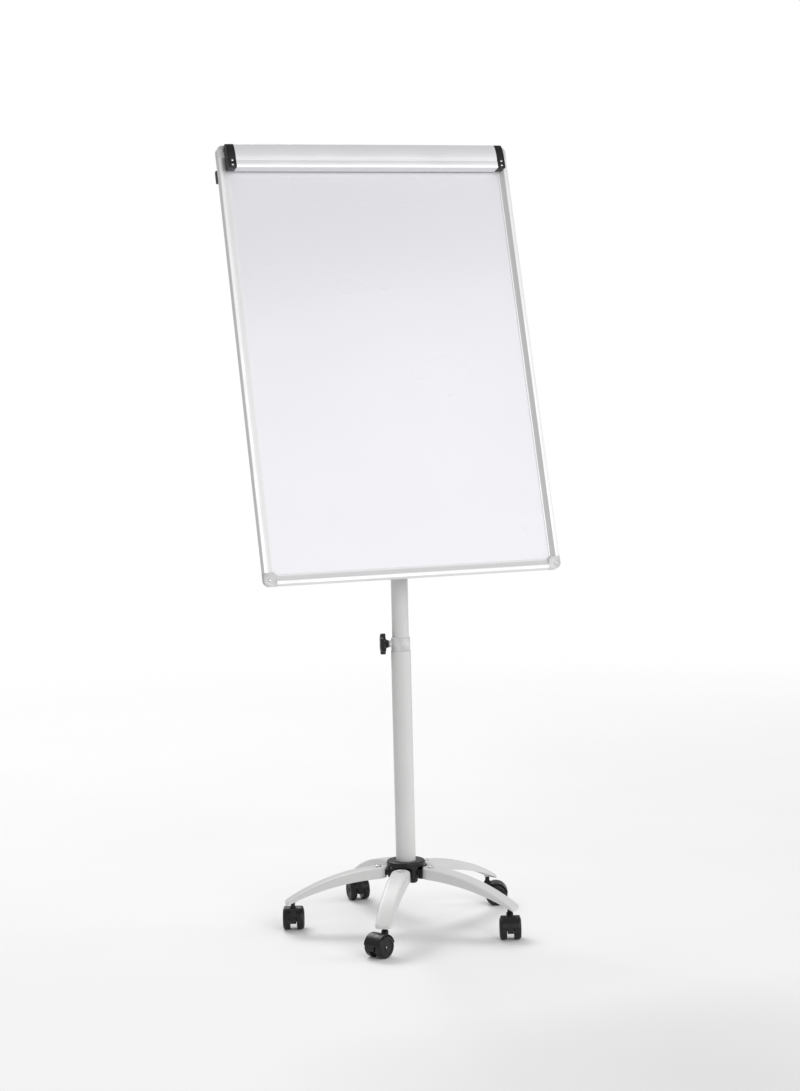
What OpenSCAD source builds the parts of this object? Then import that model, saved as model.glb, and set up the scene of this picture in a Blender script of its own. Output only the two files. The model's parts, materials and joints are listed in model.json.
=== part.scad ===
// Mobile flip chart easel. A tilting dry-wipe board with a paper clamp and two pull-out
// display arms stands on a telescopic column, on a five-leg base with twin-wheel casters.
// Units are millimetres. +Z is up, the board faces -Y, and the origin lies on the floor
// under the column's axis.

/* [Base] */
// Turn of the first leg from +Y, in degrees
base_turn = 5.3; // [-30:0.1:30]
// Distance from the column's axis to a caster stem
stem_radius = 262; // [210:1:320]
// Reach of a leg's tip beyond the caster stem
leg_overhang = 17; // [14:0.5:24]
// Rise of a leg from its tip to its crown, next to the hub
leg_rise = 71; // [56:1:101]
// Width of a leg at the hub
leg_w_in = 43; // [36:0.5:50]
// Width of a leg at its tip
leg_w_out = 38; // [30:0.5:45]
// Depth of a leg at the hub
leg_depth_in = 24; // [20:0.5:30]
// Depth of a leg at its tip
leg_depth_out = 7; // [5.5:0.5:12]
// Wall of a pressed leg
leg_wall = 2.5; // [2:0.1:3]
// Diameter of the hub's top ring
hub_ring_d = 88; // [80:1:104]
// Height of the hub's top ring
hub_ring_h = 12; // [9:0.5:16]
// Depth of the hub's claws below the ring
hub_claw_h = 34; // [24:1:40]

/* [Casters] */
// Diameter of a caster wheel
wheel_d = 50; // [40:0.5:62]
// Width of one wheel
wheel_w = 16; // [13:0.5:20]
// Gap between the two wheels of a caster
wheel_gap = 16; // [14:0.5:19]
// Distance from a caster's stem to its axle
caster_trail = 20; // [16:0.5:22]
// Diameter of a caster's stem
stem_d = 10; // [8:0.5:11]
// Gap between a caster's hood and the leg's tip
stem_gap = 7.2; // [5:0.1:15]
// Diameter of a caster's axle
axle_d = 6; // [5:0.5:8]
// Direction in which each caster trails, in degrees from +X, for legs 1 to 5
caster_turn = [88, 70, 210, 250, -20];

/* [Column] */
// Diameter of the upper tube
upper_tube_d = 38; // [32:0.5:45]
// Wall of both tubes
tube_wall = 1.5; // [1.2:0.1:2]
// Gap between the upper tube and the inside of the lower tube
tube_gap = 2; // [1.5:0.1:3]
// Height of the lower tube's top end
lower_tube_top = 635; // [550:1:680]
// Height of the collar above the lower tube
collar_h = 30; // [24:1:40]
// Depth of the collar inside the lower tube
collar_depth = 60; // [40:1:70]
// Height of the upper tube's bottom end, at rest
upper_tube_bottom = 345; // [340:1:380]
// Height of the tilt axis, at rest
pivot_z = 1030; // [940:1:1100]
// Direction of the height knob, in degrees from +X
knob_turn = 165; // [0:1:359]
// Diameter of the height knob
knob_d = 48; // [40:1:56]
// Thickness of the star knobs' heads
knob_t = 12; // [10:0.5:16]
// Diameter of the height knob's stud
stud_d = 8; // [6:0.5:10]
// Diameter of the tilt knob
tilt_knob_d = 40; // [34:1:50]
// Clearance between the tilt knob and the bracket's plate
knob_room = 2; // [1:0.5:12]
// Diameter of the tilt bolt
tilt_bolt_d = 10; // [8:0.5:12]

/* [Board] */
// Overall width of the board
board_w = 700; // [580:1:850]
// Overall height of the board
board_h = 1009; // [830:1:1210]
// Lean of the board from the vertical, in degrees
board_lean = 16.4; // [10:0.1:30]
// Height of the tilt axis above the board's bottom edge, along the board
pivot_up = 240.6; // [200:1:300]
// Width of the frame rails
rail_w = 24.5; // [20:0.5:30]
// Depth of the frame rails
rail_t = 17; // [15.5:0.5:21]
// Width of the flat strip along a rail's outer edge
strip_w = 10; // [6:0.5:12]
// Width of the flat lip along a rail's inner edge
lip_w = 3; // [2:0.5:5]
// Thickness of a rail's lip in front of the writing surface
lip_t = 1.1; // [0.9:0.1:2]
// Reach of a corner cap past the rails' inner edges
corner_reach = 4.5; // [3.5:0.5:12]
// Recess of the writing surface behind the frame's front
recess = 5; // [4.5:0.1:5.5]
// Thickness of the steel writing sheet
sheet_t = 0.6; // [0.4:0.1:1]
// Thickness of the board's core
core_t = 7.4; // [6:0.1:7.6]
// Thickness of the back sheet
back_t = 0.5; // [0.4:0.1:0.8]

/* [Paper clamp] */
// Distance from the board's sides to the ends of the clamp
clamp_inset = 16; // [12:0.5:40]
// Height of the clamp
clamp_h = 61; // [56:0.5:70]
// Distance that the clamp stands in front of the board
clamp_front = 26.5; // [25:0.5:32]
// Length of one end cap
clamp_cap_len = 19; // [15:0.5:24]
// Wall of the clamp bar
clamp_wall = 1.8; // [1.4:0.1:2]
// Diameter of the clamp's hinge pin
clamp_pin_d = 5; // [4:0.1:5.4]
// Distance of each pad hook from the middle
hook_x = 150; // [120:1:175]
// Diameter of a pad hook's peg
hook_d = 8; // [6:0.5:9]

/* [Display arms] */
// Height of an arm's bar
arm_h = 26; // [20:0.5:28]
// Thickness of an arm's bar
arm_t = 9; // [8:0.5:10]
// How much shorter an arm's bar is than its guide
arm_short = 80; // [20:1:180]
// Distance of the left arm's middle below the board's top edge
arm_drop = 66; // [60:1:80]
// Length of an arm's end cap
arm_cap_len = 10; // [8:0.5:14]

/* [Hidden] */
$fn = 64;
ROUND = 360; // segments of the large arcs
LEGS = 5;
run_gap = 0.05; // radial clearance of a shaft that turns
slip_gap = 0.3; // clearance of faces that slide past each other
fit_gap = 0.1; // clearance of plugs and tenons
eps = 0.01;

// casters
axle_z = wheel_d / 2;
caster_w = wheel_gap + 2 * wheel_w;
hood_gap = 1.1;
hood_t = 2.2;
hood_r = wheel_d / 2 + hood_gap + hood_t;
hood_len = caster_w - 4;
hood_round = 5;
hood_skirt = 5; // height of the hood's lower edges above the axle
hood_top = axle_z + hood_r + 1.5;
wheel_round = 5.5;
web_w = wheel_gap - 2;
web_drop = axle_d / 2 + 4;
stem_flange_h = 2;
stem_low = axle_z + web_drop + 6;

// base
leg_crown_r = 40;
leg_tip_z = hood_top + stem_gap + leg_depth_out;
leg_crown_z = leg_tip_z + leg_rise;
leg_in_r = hub_ring_d / 2 + 1;
leg_end_r = stem_radius + leg_overhang;
leg_run = leg_end_r - leg_crown_r;
leg_top_r = arc_r(leg_run, leg_crown_z - leg_tip_z);
leg_low_z = leg_crown_z - leg_depth_in;
leg_low_r = arc_r(leg_run, leg_low_z - leg_tip_z + leg_depth_out);
leg_round = 8;
leg_screw_r = leg_in_r + 19;
leg_boss_d = stem_d + 6;
hub_ring_z = leg_crown_z + 0.4;
hub_core_d = lower_column_d() + 9;
hub_bottom = hub_ring_z - hub_claw_h;
hub_seat = hub_bottom + 16;
hub_claw_d = 22;
hub_claw_r = hub_ring_d / 2 - 8;
tongue_w = leg_w_in - 2 * leg_wall - 8;
tongue_h = 14;
tongue_end = leg_in_r + 32;
leg_screw_d = 6;
stem_top = leg_top(stem_radius + stem_d / 2) - leg_wall - 3.2;

// column
lower_tube_id = upper_tube_d + 2 * tube_gap;
collar_top = lower_tube_top + collar_h;
collar_d = lower_column_d() - 2;
knob_z = collar_top - 14;
knob_boss_r = collar_d / 2 + 5;
knob_boss_d = stud_d + 8;
knob_start = knob_boss_r + 1;
knob_neck = 7;
knob_neck_d = 18;
bush_h = 20;
bush_spigot = 30;
foot_plug_h = 12;
head_flange_h = 6;
head_spigot = 35;
tongue_r = tilt_bolt_d / 2 + 9;
tongue_t = 24;
upper_tube_top = pivot_z - tongue_r - 20 - head_flange_h;

// board, in its own frame: x across, y up the board, z out of its front
slot_start = 10;
panel_inset = slot_start + slip_gap;
panel_t = sheet_t + core_t + back_t;
corner_w = rail_w + corner_reach;
corner_screw_at = 12;
chamber_x = 2.4; // chamber in a rail for a corner cap's tenon
chamber_w = slot_start - chamber_x - 1.8;
chamber_top = 5.5;
chamber_h = rail_t - chamber_top - 2.5;
channel_w = 50;
channel_flange = 15;
channel_t = 1.5;
channel_depth = 7;
guide_front = -rail_t - channel_t;
guide_wall = 2.2;
guide_t = arm_t + 2 * slip_gap + 2 * guide_wall;
guide_mid = guide_front - guide_t / 2;
arm_pitch = arm_h + 2 * slip_gap + 2 * guide_wall + 3;
guide_top = board_h - arm_drop + arm_h / 2 + slip_gap + guide_wall;
guide_low = guide_top - arm_pitch - arm_h - 2 * slip_gap - 2 * guide_wall;
guide_half = board_w / 2 - arm_cap_len;
arm_len = 2 * guide_half - arm_short;
bracket_front = -rail_t - channel_depth;
bracket_t = 3;
bracket_half = 40;
pivot_back = bracket_t - bracket_front + knob_room + tilt_knob_d / 2;
ear_gap = 0.3;
ear_t = 3;
ear_x = tongue_t / 2 + ear_gap;

// clamp profile: x up the board from its top edge, y out of its front
hinge = [-8.5, 10.5];
clamp_turn_r = 8;
clamp_len = board_w - 2 * clamp_inset;
face_step = 0.7; // the bar's face stands this far behind its lip
cap_tenon_t = 4;
cap_tenon_y = clamp_front - face_step - clamp_wall - cap_tenon_t - 1;
clamp_body = clamp_len - 2 * clamp_cap_len;
lip_h = clamp_h - 43;
grip_h = 2.7;
base_half = clamp_body / 2 - 2;
groove_x = -29;
groove_w = 12.2;
groove_h = 3.2;
groove_open = hook_d - 1.4;
spring_x = 200;
spring_len = 30;

// Outer diameter of the lower tube, which holds the upper one with its guide bush
function lower_column_d() = upper_tube_d + 2 * tube_gap + 2 * tube_wall;
// Direction of leg i, in degrees from +X
function leg_turn(i) = 90 + base_turn + 360 / LEGS * (i - 1);
// Radius of an arc that starts level and falls by drop over a run
function arc_r(run, drop) = (run * run + drop * drop) / (2 * drop);
// Height of a leg's top at distance r from the column's axis
function leg_top(r) = leg_crown_z - leg_top_r + sqrt(pow(leg_top_r, 2) - pow(r - leg_crown_r, 2));
// Points of an arc about c, from angle a to angle b
function arc(c, r, a, b, n = 12) =
  [for (i = [0:n]) c + r * [cos(a + (b - a) * i / n), sin(a + (b - a) * i / n)]];
// Points of a curve from p to q that heads for c, without its first point
function curve(p, c, q, n = 14) =
  [for (i = [1:n]) let (t = i / n) pow(1 - t, 2) * p + 2 * t * (1 - t) * c + t * t * q];

// ---------------------------------------------------------------- placing

module at_leg(i) {
  rotate([0, 0, leg_turn(i)]) children();
}

module at_caster(i) {
  at_leg(i)
    translate([stem_radius, 0, 0])
      rotate([0, 0, caster_turn[i - 1] - leg_turn(i)])
        children();
}

// Along +Z of the children lies the height knob's axis, from the column outwards
module at_height_knob() {
  translate([0, 0, knob_z]) rotate([0, 0, knob_turn]) rotate([0, 90, 0]) children();
}

// The children use the board's own frame
module on_board() {
  translate([0, 0, pivot_z])
    rotate([90 - board_lean, 0, 0])
      translate([0, -pivot_up, pivot_back])
        children();
}

// A profile drawn as [distance up the board, distance out of its front] becomes a bar
// that is len long, centred on the middle of the board
module across(len) {
  rotate([90, 0, 90]) linear_extrude(len, center = true) children();
}

// ---------------------------------------------------------------- shared shapes

module soft_rect(w, h, r) {
  translate([r, 0]) square([w - 2 * r, h]);
  translate([0, r]) square([w, h - 2 * r]);
  for (x = [r, w - r], y = [r, h - r]) translate([x, y]) circle(r);
}

module tube(d, wall, h) {
  difference() {
    cylinder(d = d, h = h);
    translate([0, 0, -1]) cylinder(d = d - 2 * wall, h = h + 2);
  }
}

// Pan-head screw whose head rises from z = 0 and whose shank goes down
module screw(head_d, head_h, shank_d, shank_l) {
  cylinder(d = head_d, h = head_h * 0.6);
  translate([0, 0, head_h * 0.6 - eps])
    cylinder(d1 = head_d, d2 = head_d * 0.6, h = head_h * 0.4);
  translate([0, 0, -shank_l]) cylinder(d = shank_d, h = shank_l + eps);
}

// Knob with hollows round its rim; its neck starts at z = 0
module star_knob(d, bore) {
  hollows = 6;
  difference() {
    union() {
      cylinder(d = knob_neck_d, h = knob_neck + eps);
      translate([0, 0, knob_neck])
        linear_extrude(knob_t)
          difference() {
            circle(d = d);
            for (i = [0:hollows - 1])
              rotate(i * 360 / hollows) translate([d * 0.6, 0]) circle(d = d * 0.36);
          }
    }
    translate([0, 0, -1]) cylinder(d = bore, h = knob_neck + knob_t - 2);
  }
}

// ---------------------------------------------------------------- base

module leg_side(wall, below) {
  intersection() {
    difference() {
      translate([leg_crown_r, leg_crown_z - leg_top_r]) circle(leg_top_r - wall, $fn = ROUND);
      translate([leg_crown_r, leg_low_z - leg_low_r]) circle(leg_low_r - below, $fn = ROUND);
    }
    translate([leg_crown_r - 5, 0]) square([leg_run + 10, leg_crown_z + 10]);
  }
}

module leg_plan(inset) {
  half_in = leg_w_in / 2 - inset;
  half_out = leg_w_out / 2 - inset;
  bend = leg_in_r + leg_w_in / 2;
  round = leg_round - inset;
  translate([bend, 0]) circle(half_in);
  polygon([
    [bend, -half_in], [leg_end_r - leg_round, -half_out],
    [leg_end_r - leg_round, half_out], [bend, half_in]
  ]);
  translate([leg_end_r - leg_round - eps, -half_out + round])
    square([round + eps, 2 * (half_out - round)]);
  for (s = [-1, 1])
    translate([leg_end_r - leg_round, s * (half_out - round)]) circle(round);
}

module leg_solid(wall, below) {
  intersection() {
    rotate([90, 0, 0]) linear_extrude(2 * leg_w_in, center = true) leg_side(wall, below);
    linear_extrude(leg_crown_z + 20) leg_plan(wall);
  }
}

module leg(i) {
  color("gainsboro")
    at_leg(i)
      difference() {
        union() {
          difference() {
            leg_solid(0, 0);
            leg_solid(leg_wall, 8);
            translate([leg_in_r - 5, -tongue_w / 2 - fit_gap, leg_low_z - 20])
              cube([leg_w_in / 2 + 5, tongue_w + 2 * fit_gap, 20 + leg_depth_in - leg_wall - 1]);
          }
          intersection() {
            leg_solid(0, 0);
            translate([stem_radius, 0, 0]) cylinder(d = leg_boss_d, h = leg_crown_z);
          }
        }
        translate([stem_radius, 0, -1]) cylinder(d = stem_d, h = stem_top + 1);
        translate([leg_screw_r, 0, leg_low_z])
          cylinder(d = leg_screw_d, h = leg_depth_in + 1);
      }
}

module leg_screws() {
  tongue_top = leg_top(tongue_end) - leg_wall;
  head_z = leg_top(leg_screw_r - 6.5);
  color("silver")
    for (i = [1:LEGS])
      at_leg(i)
        translate([leg_screw_r, 0, head_z]) screw(13, 3.5, leg_screw_d, head_z - tongue_top + 11);
}

module hub_tongue(i) {
  at_leg(i)
    translate([0, -tongue_w / 2, leg_top(tongue_end) - leg_wall - tongue_h])
      cube([tongue_end, tongue_w, tongue_h]);
}

module base_hub() {
  color([0.09, 0.09, 0.1])
    difference() {
      union() {
        // top ring with a rounded edge
        translate([0, 0, hub_ring_z])
          rotate_extrude() {
            square([hub_ring_d / 2 - 4, hub_ring_h]);
            square([hub_ring_d / 2, hub_ring_h - 4]);
            translate([hub_ring_d / 2 - 4, hub_ring_h - 4]) circle(4);
          }
        // core round the column's foot
        translate([0, 0, hub_bottom]) cylinder(d = hub_core_d, h = hub_claw_h + eps);
        for (i = [1:LEGS]) hub_tongue(i);
        // claws between the legs
        for (i = [1:LEGS])
          rotate([0, 0, leg_turn(i) + 180 / LEGS]) {
            translate([hub_claw_r, 0, hub_bottom + 4])
              cylinder(d = hub_claw_d, h = hub_claw_h - 4 + eps);
            translate([hub_claw_r, 0, hub_bottom])
              cylinder(d1 = hub_claw_d - 8, d2 = hub_claw_d, h = 4 + eps);
            translate([0, -4, hub_bottom + 4]) cube([hub_claw_r, 8, hub_claw_h - 4 + eps]);
          }
      }
      translate([0, 0, hub_seat]) cylinder(d = lower_column_d(), h = 100);
      translate([0, 0, hub_bottom - 1]) cylinder(d = leg_screw_d + 4, h = 40);
      for (i = [1:LEGS])
        at_leg(i)
          translate([leg_screw_r, 0, leg_top(tongue_end) - leg_wall - 11])
            cylinder(d = leg_screw_d, h = 20);
    }
}

module column_bolt() {
  color("silver") {
    translate([0, 0, hub_bottom - 8]) cylinder(d = 18, h = 6, $fn = 6);
    translate([0, 0, hub_bottom - 2]) cylinder(d = 24, h = 2);
    translate([0, 0, hub_bottom - 4]) cylinder(d = leg_screw_d + 4, h = 34);
  }
}

// ---------------------------------------------------------------- casters

module caster_stems() {
  color([0.25, 0.25, 0.26])
    for (i = [1:LEGS])
      at_caster(i) {
        translate([0, 0, stem_low]) cylinder(d = stem_d, h = stem_top - stem_low);
        translate([0, 0, hood_top + slip_gap]) cylinder(d = stem_d + 3, h = stem_flange_h);
      }
}

// Half section of the cover, from the axle outwards and along it, with rounded ends
module hood_section() {
  difference() {
    intersection() {
      translate([hood_r - 15, -hood_len / 2 - 1.5]) soft_rect(15, hood_len + 3, hood_round);
      translate([0, -hood_len / 2]) square([hood_r, hood_len]);
    }
    translate([0, -caster_w]) square([hood_r - hood_t, 2 * caster_w]);
  }
}

module caster_hood(i) {
  color([0.07, 0.07, 0.08])
    at_caster(i)
      difference() {
        union() {
          translate([caster_trail, 0, axle_z])
            rotate([90, 0, 0]) {
              // cover over both wheels
              difference() {
                rotate_extrude() hood_section();
                translate([-hood_r - 1, -hood_r - 1, -caster_w / 2])
                  cube([2 * hood_r + 2, hood_r + 1 + hood_skirt, caster_w]);
              }
              // web between the wheels
              linear_extrude(web_w, center = true)
                difference() {
                  circle(hood_r - 1);
                  translate([-hood_r, -hood_r - web_drop]) square([2 * hood_r, hood_r]);
                }
            }
          // boss for the stem
          translate([0, 0, axle_z - 4]) cylinder(d = web_w, h = hood_top - axle_z + 4);
          translate([0, 0, hood_top - 7]) cylinder(d = web_w + 2, h = 7);
        }
        translate([0, 0, stem_low - 1])
          cylinder(d = stem_d + 2 * run_gap, h = hood_top - stem_low + 2);
        translate([caster_trail, 0, axle_z])
          rotate([90, 0, 0]) {
            cylinder(d = axle_d, h = caster_w, center = true);
            // room for the wheels under the boss
            for (s = [-1, 1])
              translate([0, 0, s * (web_w + wheel_w + 4) / 2])
                cylinder(r = wheel_d / 2 + hood_gap, h = wheel_w + 4, center = true);
          }
      }
}

module caster_axle(i) {
  color("silver")
    at_caster(i)
      translate([caster_trail, 0, axle_z])
        rotate([90, 0, 0]) cylinder(d = axle_d, h = caster_w - 5, center = true);
}

module caster_wheels(i) {
  dish = 2;
  tread_round = 2; // rounding of the tread next to the gap
  color([0.11, 0.11, 0.12])
    at_caster(i)
      translate([caster_trail, 0, axle_z])
        for (s = [0, 1])
          mirror([0, s, 0])
            translate([0, -wheel_gap / 2, 0])
              rotate([90, 0, 0])
                rotate_extrude()
                  difference() {
                    union() {
                      translate([axle_d / 2 + run_gap, 0])
                        square([wheel_d / 2 - wheel_round - axle_d / 2 - run_gap, wheel_w]);
                      translate([wheel_d / 2 - wheel_round, wheel_w - wheel_round])
                        circle(wheel_round);
                      translate([wheel_d / 2 - wheel_round - eps, tread_round])
                        square([wheel_round + eps, wheel_w - wheel_round - tread_round]);
                      translate([wheel_d / 2 - tread_round, tread_round]) circle(tread_round);
                      translate([wheel_d / 2 - wheel_round - eps, 0])
                        square([wheel_round - tread_round + eps, tread_round + eps]);
                    }
                    // dished outer face with a bearing boss
                    translate([axle_d / 2 + 4, wheel_w - dish])
                      square([wheel_d / 2 - axle_d / 2 - wheel_round - 5.5, dish + 1]);
                  }
}

// ---------------------------------------------------------------- column

module lower_column() {
  color("gainsboro") {
    translate([0, 0, hub_seat]) tube(lower_column_d(), tube_wall, lower_tube_top - hub_seat);
    // nut plate, welded in the foot
    translate([0, 0, hub_seat])
      difference() {
        cylinder(d = lower_tube_id, h = foot_plug_h);
        translate([0, 0, -1]) cylinder(d = leg_screw_d + 4, h = foot_plug_h + 2);
      }
  }
}

module column_collar() {
  bore = upper_tube_d + 2 * run_gap;
  color([0.86, 0.86, 0.86])
    difference() {
      union() {
        translate([0, 0, lower_tube_top]) cylinder(d = collar_d, h = collar_h);
        translate([0, 0, lower_tube_top - collar_depth])
          cylinder(d = lower_tube_id, h = collar_depth + eps);
        at_height_knob() cylinder(d = knob_boss_d, h = knob_boss_r);
      }
      translate([0, 0, lower_tube_top - collar_depth - 1])
        cylinder(d = bore, h = collar_depth + collar_h + 2);
      at_height_knob() cylinder(d = stud_d, h = 60);
    }
}

module height_stud() {
  tip = upper_tube_d / 2 + slip_gap;
  color("silver")
    at_height_knob()
      translate([0, 0, tip])
        cylinder(d = stud_d - 2 * run_gap, h = knob_start + knob_neck + knob_t - 4 - tip);
}

module height_knob() {
  color([0.08, 0.08, 0.09])
    at_height_knob() translate([0, 0, knob_start]) star_knob(knob_d, stud_d - 2 * run_gap);
}

module guide_bush() {
  spigot_d = upper_tube_d - 2 * tube_wall - 2 * run_gap;
  color([0.2, 0.2, 0.22])
    difference() {
      union() {
        translate([0, 0, upper_tube_bottom - bush_h - slip_gap])
          cylinder(d = lower_tube_id - 2 * run_gap, h = bush_h);
        translate([0, 0, upper_tube_bottom - slip_gap - eps])
          cylinder(d = spigot_d, h = bush_spigot);
      }
      translate([0, 0, upper_tube_bottom - bush_h - 1])
        cylinder(d = spigot_d - 8, h = bush_h + bush_spigot + 2);
    }
}

module upper_column() {
  color("gainsboro")
    translate([0, 0, upper_tube_bottom])
      tube(upper_tube_d, tube_wall, upper_tube_top - upper_tube_bottom);
}

module column_head() {
  plug_d = upper_tube_d - 2 * tube_wall;
  color([0.3, 0.3, 0.32])
    difference() {
      union() {
        translate([0, 0, upper_tube_top - head_spigot]) cylinder(d = plug_d, h = head_spigot);
        translate([0, 0, upper_tube_top]) cylinder(d = upper_tube_d + 2, h = head_flange_h);
        translate([-tongue_t / 2, -tongue_r, upper_tube_top])
          cube([tongue_t, 2 * tongue_r, pivot_z - upper_tube_top]);
        translate([0, 0, pivot_z])
          rotate([0, 90, 0]) cylinder(r = tongue_r, h = tongue_t, center = true);
      }
      translate([0, 0, pivot_z])
        rotate([0, 90, 0]) cylinder(d = tilt_bolt_d + 2 * run_gap, h = 60, center = true);
    }
}

// ---------------------------------------------------------------- tilt joint

module tilt_bracket() {
  color([0.32, 0.32, 0.34])
    on_board()
      difference() {
        union() {
          translate([-bracket_half, pivot_up - bracket_half, bracket_front - bracket_t])
            cube([2 * bracket_half, 2 * bracket_half, bracket_t]);
          for (s = [0, 1])
            mirror([s, 0, 0])
              translate([ear_x, pivot_up, 0]) {
                translate([0, -tongue_r, -pivot_back])
                  cube([ear_t, 2 * tongue_r, pivot_back + bracket_front - bracket_t / 2]);
                translate([0, 0, -pivot_back]) rotate([0, 90, 0]) cylinder(r = tongue_r, h = ear_t);
              }
        }
        translate([0, pivot_up, -pivot_back])
          rotate([0, 90, 0]) cylinder(d = tilt_bolt_d, h = 100, center = true);
      }
}

module tilt_bolt() {
  outer = ear_x + ear_t;
  color("silver")
    on_board()
      translate([0, pivot_up, -pivot_back])
        rotate([0, 90, 0]) {
          translate([0, 0, -outer - 8]) cylinder(d = tilt_bolt_d * 1.7, h = 6.5, $fn = 6);
          translate([0, 0, -outer - 1.5]) cylinder(d = tilt_bolt_d * 2, h = 1.5);
          translate([0, 0, -outer - 2]) cylinder(d = tilt_bolt_d, h = 2 * outer + knob_neck + knob_t - 1);
          translate([0, 0, outer]) cylinder(d = tilt_bolt_d * 2, h = 1.5);
        }
}

module tilt_knob() {
  color([0.08, 0.08, 0.09])
    on_board()
      translate([ear_x + ear_t + 1.5 + slip_gap, pivot_up, -pivot_back])
        rotate([0, 90, 0]) star_knob(tilt_knob_d, tilt_bolt_d + 2 * run_gap);
}

// ---------------------------------------------------------------- board

module panel(z, t, colour) {
  color(colour)
    on_board()
      translate([-board_w / 2 + panel_inset, panel_inset, z - t])
        cube([board_w - 2 * panel_inset, board_h - 2 * panel_inset, t]);
}

// Section of a frame rail: x from the outer edge inwards, y = 0 at the front
module rail_profile() {
  drop = recess - lip_t;
  run = rail_w - lip_w - strip_w;
  difference() {
    translate([0, -rail_t]) soft_rect(rail_w, rail_t, 3);
    // slope from the flat strip down to the inner lip
    polygon([
      [strip_w - run / drop, 1], [rail_w - lip_w, -drop], [rail_w + 1, -drop], [rail_w + 1, 1]
    ]);
    // chamber for the corner caps' tenons
    translate([chamber_x, -chamber_top - chamber_h]) square([chamber_w, chamber_h]);
    // slot for the panel
    translate([slot_start, -recess - panel_t - fit_gap])
      square([rail_w, panel_t + fit_gap]);
    translate([rail_w - 4.5, -rail_t - 1]) square([10, rail_t + 1 - recess - panel_t]);
  }
}

module frame_side(s) {
  color("lightgray")
    on_board()
      mirror([s, 0, 0])
        translate([-board_w / 2, board_h - corner_w, 0])
          rotate([90, 0, 0]) linear_extrude(board_h - 2 * corner_w) rail_profile();
}

module frame_end(s) {
  color("lightgray")
    on_board()
      translate([0, s * board_h, 0])
        mirror([0, s, 0]) across(board_w - 2 * corner_w) rail_profile();
}

// The children are drawn from an outer corner inwards
module at_corners() {
  for (a = [0, 1], b = [0, 1])
    on_board()
      translate([0, b * board_h, 0])
        mirror([0, b, 0])
          mirror([a, 0, 0])
            translate([-board_w / 2, 0, 0])
              children();
}

module corner_caps() {
  r = (corner_w - 1) / 2;
  proud = 0.4;
  tenon = 20;
  tenon_x = chamber_x + fit_gap;
  tenon_low = -chamber_top - chamber_h + fit_gap;
  tenon_w = chamber_w - 2 * fit_gap;
  tenon_h = chamber_h - 2 * fit_gap;
  color([0.8, 0.8, 0.81])
    at_corners()
      difference() {
        union() {
          translate([0, 0, -rail_t])
            linear_extrude(rail_t + proud) {
              translate([r, r]) circle(r);
              translate([r, 0]) square([corner_w - r, corner_w]);
              translate([0, r]) square([corner_w, corner_w - r]);
            }
          translate([corner_w - 1, tenon_x, tenon_low]) cube([tenon + 1, tenon_w, tenon_h]);
          translate([tenon_x, corner_w - 1, tenon_low]) cube([tenon_w, tenon + 1, tenon_h]);
        }
        translate([slot_start, slot_start, -recess - panel_t - fit_gap])
          cube([30, 30, panel_t + fit_gap]);
        translate([rail_w, rail_w, -rail_t - 1]) cube([10, 10, rail_t + 4]);
        translate([corner_screw_at, corner_screw_at, -4.6]) cylinder(d = 3, h = 10);
      }
}

module corner_screws() {
  color("silver")
    at_corners() translate([corner_screw_at, corner_screw_at, 0.4]) screw(6.5, 1.8, 3, 4.8);
}

module back_channel() {
  half = channel_w / 2;
  hat_top = guide_low - 2;
  color("silver")
    on_board() {
      translate([0, hat_top, -rail_t])
        rotate([90, 0, 0])
          linear_extrude(hat_top - 2)
            difference() {
              union() {
                translate([-half - channel_flange, -channel_t])
                  square([channel_w + 2 * channel_flange, channel_t]);
                translate([-half, -channel_depth]) square([channel_w, channel_depth]);
              }
              translate([-half + channel_t, -channel_depth + channel_t])
                square([channel_w - 2 * channel_t, channel_depth]);
            }
      translate([-half - channel_flange, hat_top - eps, -rail_t - channel_t])
        cube([channel_w + 2 * channel_flange, board_h - 2 - hat_top, channel_t]);
    }
}

module guide_tabs() {
  tab_w = rail_w - 6;
  color("silver")
    for (s = [0, 1])
      on_board()
        mirror([s, 0, 0])
          translate([-board_w / 2 + 2, guide_low - 14, -rail_t - channel_t])
            cube([tab_w, guide_top - guide_low + 28, channel_t]);
}

module back_screws() {
  color("silver")
    on_board() {
      for (s = [-1, 1], y = [10, board_h - 10])
        translate([s * (channel_w + channel_flange) / 2, y, -rail_t - channel_t])
          mirror([0, 0, 1]) screw(8, 2, 4, 4);
      for (s = [-1, 1], y = [guide_low - 7, guide_top + 7])
        translate([s * (board_w / 2 - 10), y, -rail_t - channel_t])
          mirror([0, 0, 1]) screw(8, 2, 4, 4);
      for (x = [-1, 1], y = [-1, 1])
        translate([
          x * (channel_w / 2 - 6), pivot_up + y * (bracket_half - 10), bracket_front - bracket_t
        ])
          mirror([0, 0, 1]) screw(9, 2.5, 5, 5);
    }
}

module arm_guide() {
  color("lightgray")
    on_board()
      translate([0, 0, guide_mid])
        across(2 * guide_half)
          difference() {
            translate([guide_low, -guide_t / 2]) square([guide_top - guide_low, guide_t]);
            for (k = [0, 1])
              translate([
                board_h - arm_drop - k * arm_pitch - arm_h / 2 - slip_gap, -arm_t / 2 - slip_gap
              ])
                square([arm_h + 2 * slip_gap, arm_t + 2 * slip_gap]);
          }
}

// ---------------------------------------------------------------- display arms

module at_arm(s) {
  on_board()
    mirror([s, 0, 0])
      translate([-guide_half, board_h - arm_drop - s * arm_pitch, guide_mid])
        children();
}

module arm(s) {
  wall = 1.5;
  color("lightgray")
    at_arm(s)
      difference() {
        translate([-1, -arm_h / 2, -arm_t / 2]) cube([arm_len, arm_h, arm_t]);
        translate([-2, -arm_h / 2 + wall, -arm_t / 2 + wall])
          cube([arm_len + 4, arm_h - 2 * wall, arm_t - 2 * wall]);
      }
}

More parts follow.
